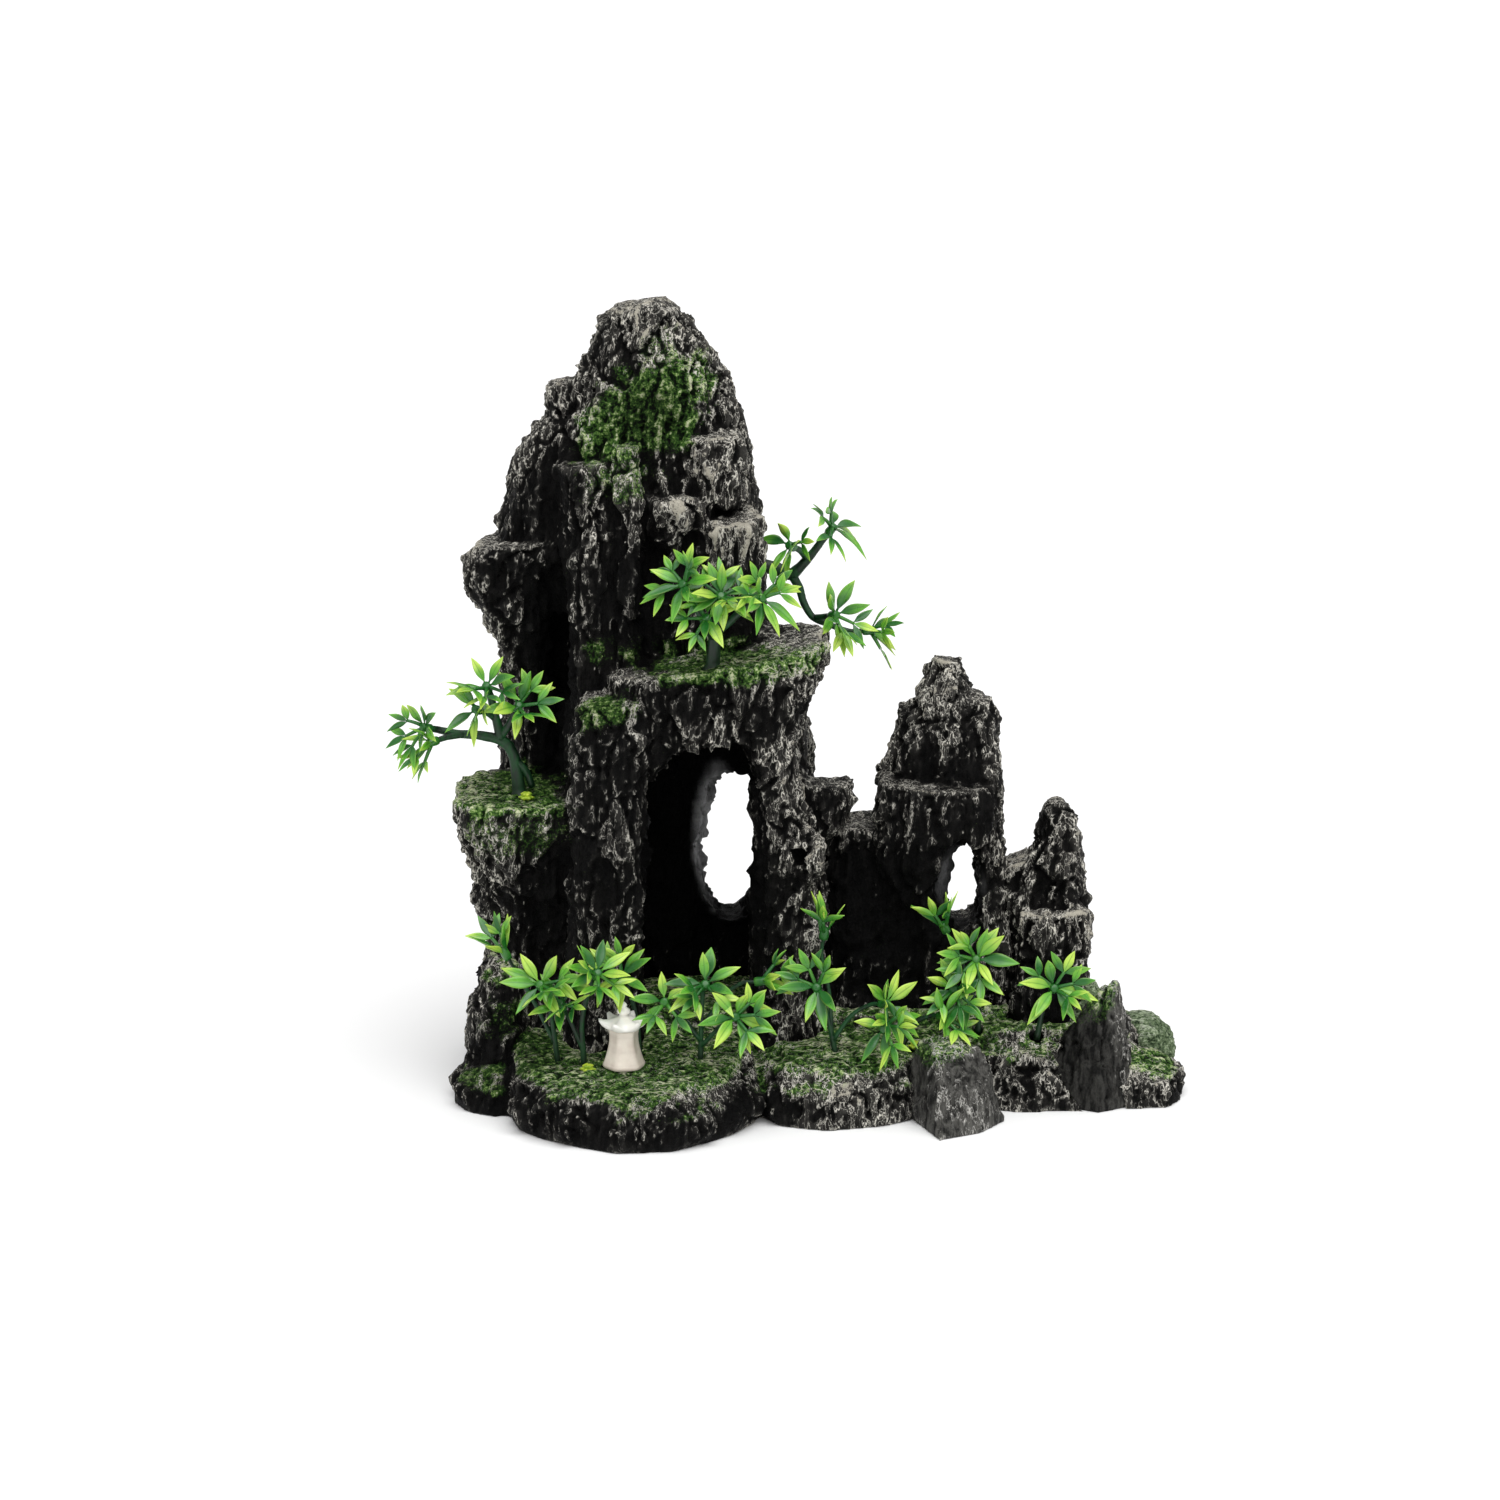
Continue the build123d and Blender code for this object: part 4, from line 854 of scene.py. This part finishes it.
def standing(name, limbs):
    """The limbs, moved to where the CAD stem stands on its rock."""
    foot, above = Vector(limbs[0][0][0][:3]), Vector(limbs[0][0][1][:3])
    away = (above - foot).normalized()
    reach = []
    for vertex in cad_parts[name].data.vertices:
        offset = vertex.co / MM - foot
        along = offset.dot(away)
        if (offset - away * along).length < 1.5:
            reach.append(along)
    shift = away * (min(reach) + ROOT_PEG_LENGTH)
    return [([(*(Vector(p[:3]) + shift), p[3]) for p in line], spray) for line, spray in limbs]


def make_plants(stem_material, leaf_material):
    for number, (plant, limbs) in enumerate(PLANTS.items()):
        limbs = standing(plant + "_stem", limbs)
        stem_piece(plant + "_stem", limbs, stem_material)
        sprays = [(line, spray) for line, spray in limbs if spray]
        for k, (line, spray) in enumerate(sprays):
            spray_piece(f"{plant}_leaves_{k + 1}", line, 10 * number + k, *spray, leaf_material)


# ================================================================ lantern and buds
def lantern_ring(centre, radius, z, corner, lift, count=48):
    """A rounded hexagon: corner is 0 for a circle and draws the flats in; lift raises the corners."""
    ring = []
    for i in range(count):
        angle = 2 * math.pi * i / count
        spoke = math.cos(3 * (angle - math.radians(10))) ** 2
        reach = radius * (1 - corner * 0.16 * (1 - spoke ** 1.5))
        ring.append(Vector((centre.x + reach * math.cos(angle), centre.y + reach * math.sin(angle),
                            z + lift * spoke ** 2.5)))
    return ring


def lantern_piece(name, profile, material):
    """A glazed part of the lantern, through rings given as (height, radius, corner, lift)."""
    low, high = (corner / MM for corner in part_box(name))
    centre = (low + high) / 2
    shape = Shape("crest")
    rows = [lantern_ring(centre, radius, z, corner, lift) for z, radius, corner, lift in profile]
    crest = [0.45 if k % 2 else 0.55 for k in range(len(rows))]
    start, width = shape.add_grid(rows, True, crest=crest)
    shape.cap(start, width, True)
    shape.cap(start + width * (len(rows) - 1), width, False)
    return new_piece(name + "_glazed", shape.mesh(name), material, name)


def make_lantern():
    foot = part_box("lantern_body")[0].z / MM
    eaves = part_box("lantern_body")[1].z / MM
    body = [(foot, 4.7, 0.4, 0), (foot + 0.25, 4.95, 0.4, 0), (foot + 0.9, 4.9, 0.5, 0),
            (foot + 1.2, 4.65, 0.5, 0), (foot + 2.6, 4.2, 0.6, 0), (foot + 4.2, 3.75, 0.7, 0),
            (foot + 6.0, 3.4, 0.8, 0), (foot + 7.6, 3.35, 0.8, 0), (eaves - 0.4, 3.5, 0.7, 0),
            (eaves, 3.4, 0.6, 0)]
    roof = [(eaves, 3.5, 0.5, 0), (eaves + 0.2, 4.1, 0.8, 0), (eaves + 0.5, 5.2, 1.5, 0.6),
            (eaves + 0.8, 5.8, 2.1, 1.2), (eaves + 1.1, 5.9, 2.2, 1.6), (eaves + 1.3, 5.5, 2.0, 1.5),
            (eaves + 1.6, 4.6, 1.4, 0.8), (eaves + 2.1, 3.4, 0.8, 0.3), (eaves + 2.6, 2.2, 0.4, 0),
            (eaves + 3.0, 1.3, 0.2, 0), (eaves + 3.3, 0.9, 0, 0), (eaves + 3.6, 1.2, 0, 0),
            (eaves + 4.1, 1.6, 0, 0), (eaves + 4.6, 1.45, 0, 0), (eaves + 5.0, 0.85, 0, 0),
            (eaves + 5.3, 0.7, 0, 0), (eaves + 5.7, 0.85, 0, 0), (eaves + 6.1, 0.6, 0, 0),
            (eaves + 6.5, 0.15, 0, 0)]
    lantern_piece("lantern_body", body, glaze_paint("body_glaze", rgb(238, 228, 214), rgb(218, 204, 190)))
    lantern_piece("lantern_roof", roof, glaze_paint("roof_glaze", rgb(255, 255, 250), rgb(253, 249, 240)))


def bud_piece(name, material):
    """A small double rosette of pointed lobes."""
    low, high = (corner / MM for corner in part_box(name))
    centre, foot = (low + high) / 2, low.z
    shape = Shape("along")
    for tier, (reach, lift, turn) in enumerate(((1.95, 0.7, 0.0), (1.35, 1.45, 0.5))):
        rows = []
        for z, grow in ((-0.6, 0.7), (-0.2, 0.95), (0.0, 1.0), (0.25, 0.7), (0.4, 0.2)):
            row = []
            for i in range(36):
                angle = 2 * math.pi * (i / 36 + turn / 6)
                lobe = 0.62 + 0.38 * abs(math.cos(3 * angle)) ** 1.5
                r = reach * grow * lobe
                row.append(Vector((centre.x + r * math.cos(angle), centre.y + r * math.sin(angle),
                                   foot + lift + z + 0.15 * lobe * chance(i // 6, tier))))
            rows.append(row)
        start, width = shape.add_grid(rows, True, along=[0.5] * len(rows))
        shape.cap(start, width, True)
        shape.cap(start + width * (len(rows) - 1), width, False)
    return new_piece(name + "_cluster", shape.mesh(name), material, name)


# ================================================================ stage
def make_stage():
    bpy.ops.mesh.primitive_plane_add(size=FLOOR_SIZE, location=(0, FLOOR_SHIFT, 0))
    floor = bpy.context.object
    floor.name = "floor"
    nodes = Nodes("floor")
    floor.data.materials.append(nodes.paint(rgb(252, 252, 252), 0.8))
    world = bpy.data.worlds.new("studio")
    world.use_nodes = True
    backdrop = world.node_tree.nodes["Background"]
    backdrop.inputs["Color"].default_value = (1, 1, 1, 1)
    backdrop.inputs["Strength"].default_value = WORLD_STRENGTH
    bpy.context.scene.world = world
    for name, turn, height, power, softness in LIGHTS:
        light = bpy.data.lights.new(name, "SUN")
        light.energy, light.angle = power, math.radians(softness)
        lamp = bpy.data.objects.new(name, light)
        lamp.rotation_euler = (math.radians(90 - height), 0, math.radians(turn))
        bpy.context.scene.collection.objects.link(lamp)


def make_camera():
    camera = bpy.data.cameras.new("camera")
    camera.sensor_width = SENSOR
    camera.lens = SENSOR / 2 / math.tan(VIEW_HALF_ANGLE)
    eye = bpy.data.objects.new("camera", camera)
    back = Vector((0, -math.cos(VIEW_ELEVATION), math.sin(VIEW_ELEVATION)))
    eye.location = VIEW_TARGET + back * VIEW_DISTANCE
    eye.rotation_euler = (math.pi / 2 - VIEW_ELEVATION, 0, 0)
    bpy.context.scene.collection.objects.link(eye)
    bpy.context.scene.camera = eye


# ================================================================ the rocks and their patches
# Rough ellipsoids as (centre, half sizes, amount), in mm: moss, painted shade, heavier dry-brushing
# with painted light, and painted light on window rims lit from behind.
TOWER_MOSS = [((-49, 0, 156), (11, 12, 9), 0.8), ((-38, 2, 162), (13, 12, 11), 0.95),
              ((-28, 4, 169), (10, 12, 9), 0.75), ((-44, -4, 147), (13, 10, 7), 0.45),
              ((-36, 4, 174), (6, 10, 8), 0.4)]
LEDGE_MOSS = [((-74, -4, 73), (16, 22, 5), 1.0), ((-27, -16, 106), (34, 19, 5), 1.0),
              ((-70, -8, 64), (14, 10, 6), 0.4), ((-50, -16, 97), (9, 8, 7), 0.7)]
# Painted shade: the unlit cave, and the recesses and shaded sides of the tower, painted dark.
CAVE_SHADE = [((-27, 10, 50), (24, 38, 48), 1.0)]
TOWER_SHADE = [((-64, -4, 124), (14, 20, 36), 0.35), ((-40, -2, 162), (17, 12, 12), 0.7),
              ((-42, -6, 117), (11, 16, 15), 0.7), ((-62, 4, 100), (7, 16, 30), 0.9),
              ((-62, -4, 146), (10, 16, 16), 0.45), ((-62, -12, 44), (15, 16, 20), 0.45),
              ((-30, -12, 30), (14, 12, 14), 0.5), ((-26, -14, 94), (24, 10, 9), 0.35),
              ((-50, -16, 70), (12, 10, 40), 0.4)]
# Painted light with heavier dry-brushing: paler patches where the light falls on the tower.
TOWER_BRUSHING_AND_LIGHT = [((-24, 4, 142), (11, 18, 18), 0.5), ((-6, -8, 74), (9, 14, 40), 0.15),
              ((-38, 2, 178), (14, 12, 7), 0.5), ((-26, -20, 88), (20, 6, 12), 0.3)]
# Painted light: window rims lit from behind, painted pale grey.
CAVE_WINDOW_RIM = [((-23, 25, 54), (6, 34, 17), 1.0)]
PEAK_WINDOW_RIM = [((34.5, 5, 47), (5, 30, 9), 0.3)]


# The shade patches of each rock below are painted shade over its unlit recesses and sides.
def make_peaks(rock):
    weathered("main_peak", 101, VOXEL, rock, moss=TOWER_MOSS + LEDGE_MOSS,
              shade_patches=CAVE_SHADE + TOWER_SHADE, brushing_and_light=TOWER_BRUSHING_AND_LIGHT, lit_rim=CAVE_WINDOW_RIM)
    weathered("window_peak", 131, VOXEL, rock,
              shade_patches=[((17, -4, 40), (24, 18, 24), 0.85), ((28, 4, 64), (16, 12, 16), 0.4)],
              lit_rim=PEAK_WINDOW_RIM)
    weathered("side_peak", 151, VOXEL, rock, shade_patches=[((48, -8, 24), (14, 14, 12), 0.6)])
    weathered("base_plinth", 171, VOXEL, rock, level=0.75,
              moss=[((-45, -22, 20), (40, 26, 8), 0.7)],
              shade_patches=[((-10, -42, 8), (12, 12, 12), 0.9), ((-44, -46, 4), (44, 14, 12), 0.3),
                    ((-74, -20, 8), (14, 22, 14), 0.5)])


# The shade patches of the boulders are painted shade on their lower, unlit sides.
def make_boulders(stone, mossy):
    weathered("front_boulder", 191, GRAIN_VOXEL, stone, strength=0.6,
              moss=[((27, -26, 19), (12, 12, 5), 0.6)], shade_patches=[((22, -32, 8), (5, 12, 16), 0.35)])
    weathered("cone_rock", 201, GRAIN_VOXEL, stone, strength=0.7,
              moss=[((63, -12, 28), (8, 9, 8), 0.65)], shade_patches=[((60, -18, 8), (12, 11, 21), 0.8)])
    for seed, name in ((211, "left_moss_boulder"), (221, "right_moss_boulder")):
        weathered(name, seed, GRAIN_VOXEL, mossy, level=-0.9, strength=0.35)


def make_rocks():
    moss_tones = (rgb(11, 21, 9), rgb(58, 92, 38), rgb(140, 174, 92), rgb(222, 226, 186))
    pale_moss_tones = (rgb(44, 58, 40), rgb(104, 122, 90), rgb(168, 182, 150), rgb(206, 216, 190))
    charcoal, cream = (rgb(4, 4, 4), rgb(22, 21, 20)), rgb(238, 234, 222)
    grey, silver = (rgb(32, 32, 31), rgb(100, 99, 95)), rgb(214, 212, 206)
    make_peaks(rock_paint("rock", moss_tones, charcoal, cream))
    make_boulders(rock_paint("stone", moss_tones, grey, silver),
                  rock_paint("mossy_rock", pale_moss_tones, grey, silver))


# ================================================================ the whole ornament
def main():
    make_camera()
    make_stage()
    make_rocks()
    make_plants(stem_paint(), leaf_paint())
    make_lantern()
    bud_material = bud_paint()
    for name in ("left_ledge_bud", "lantern_bud", "front_bud"):
        bud_piece(name, bud_material)
    bpy.context.scene.view_settings.view_transform = "Standard"
    bpy.context.view_layer.update()


main()
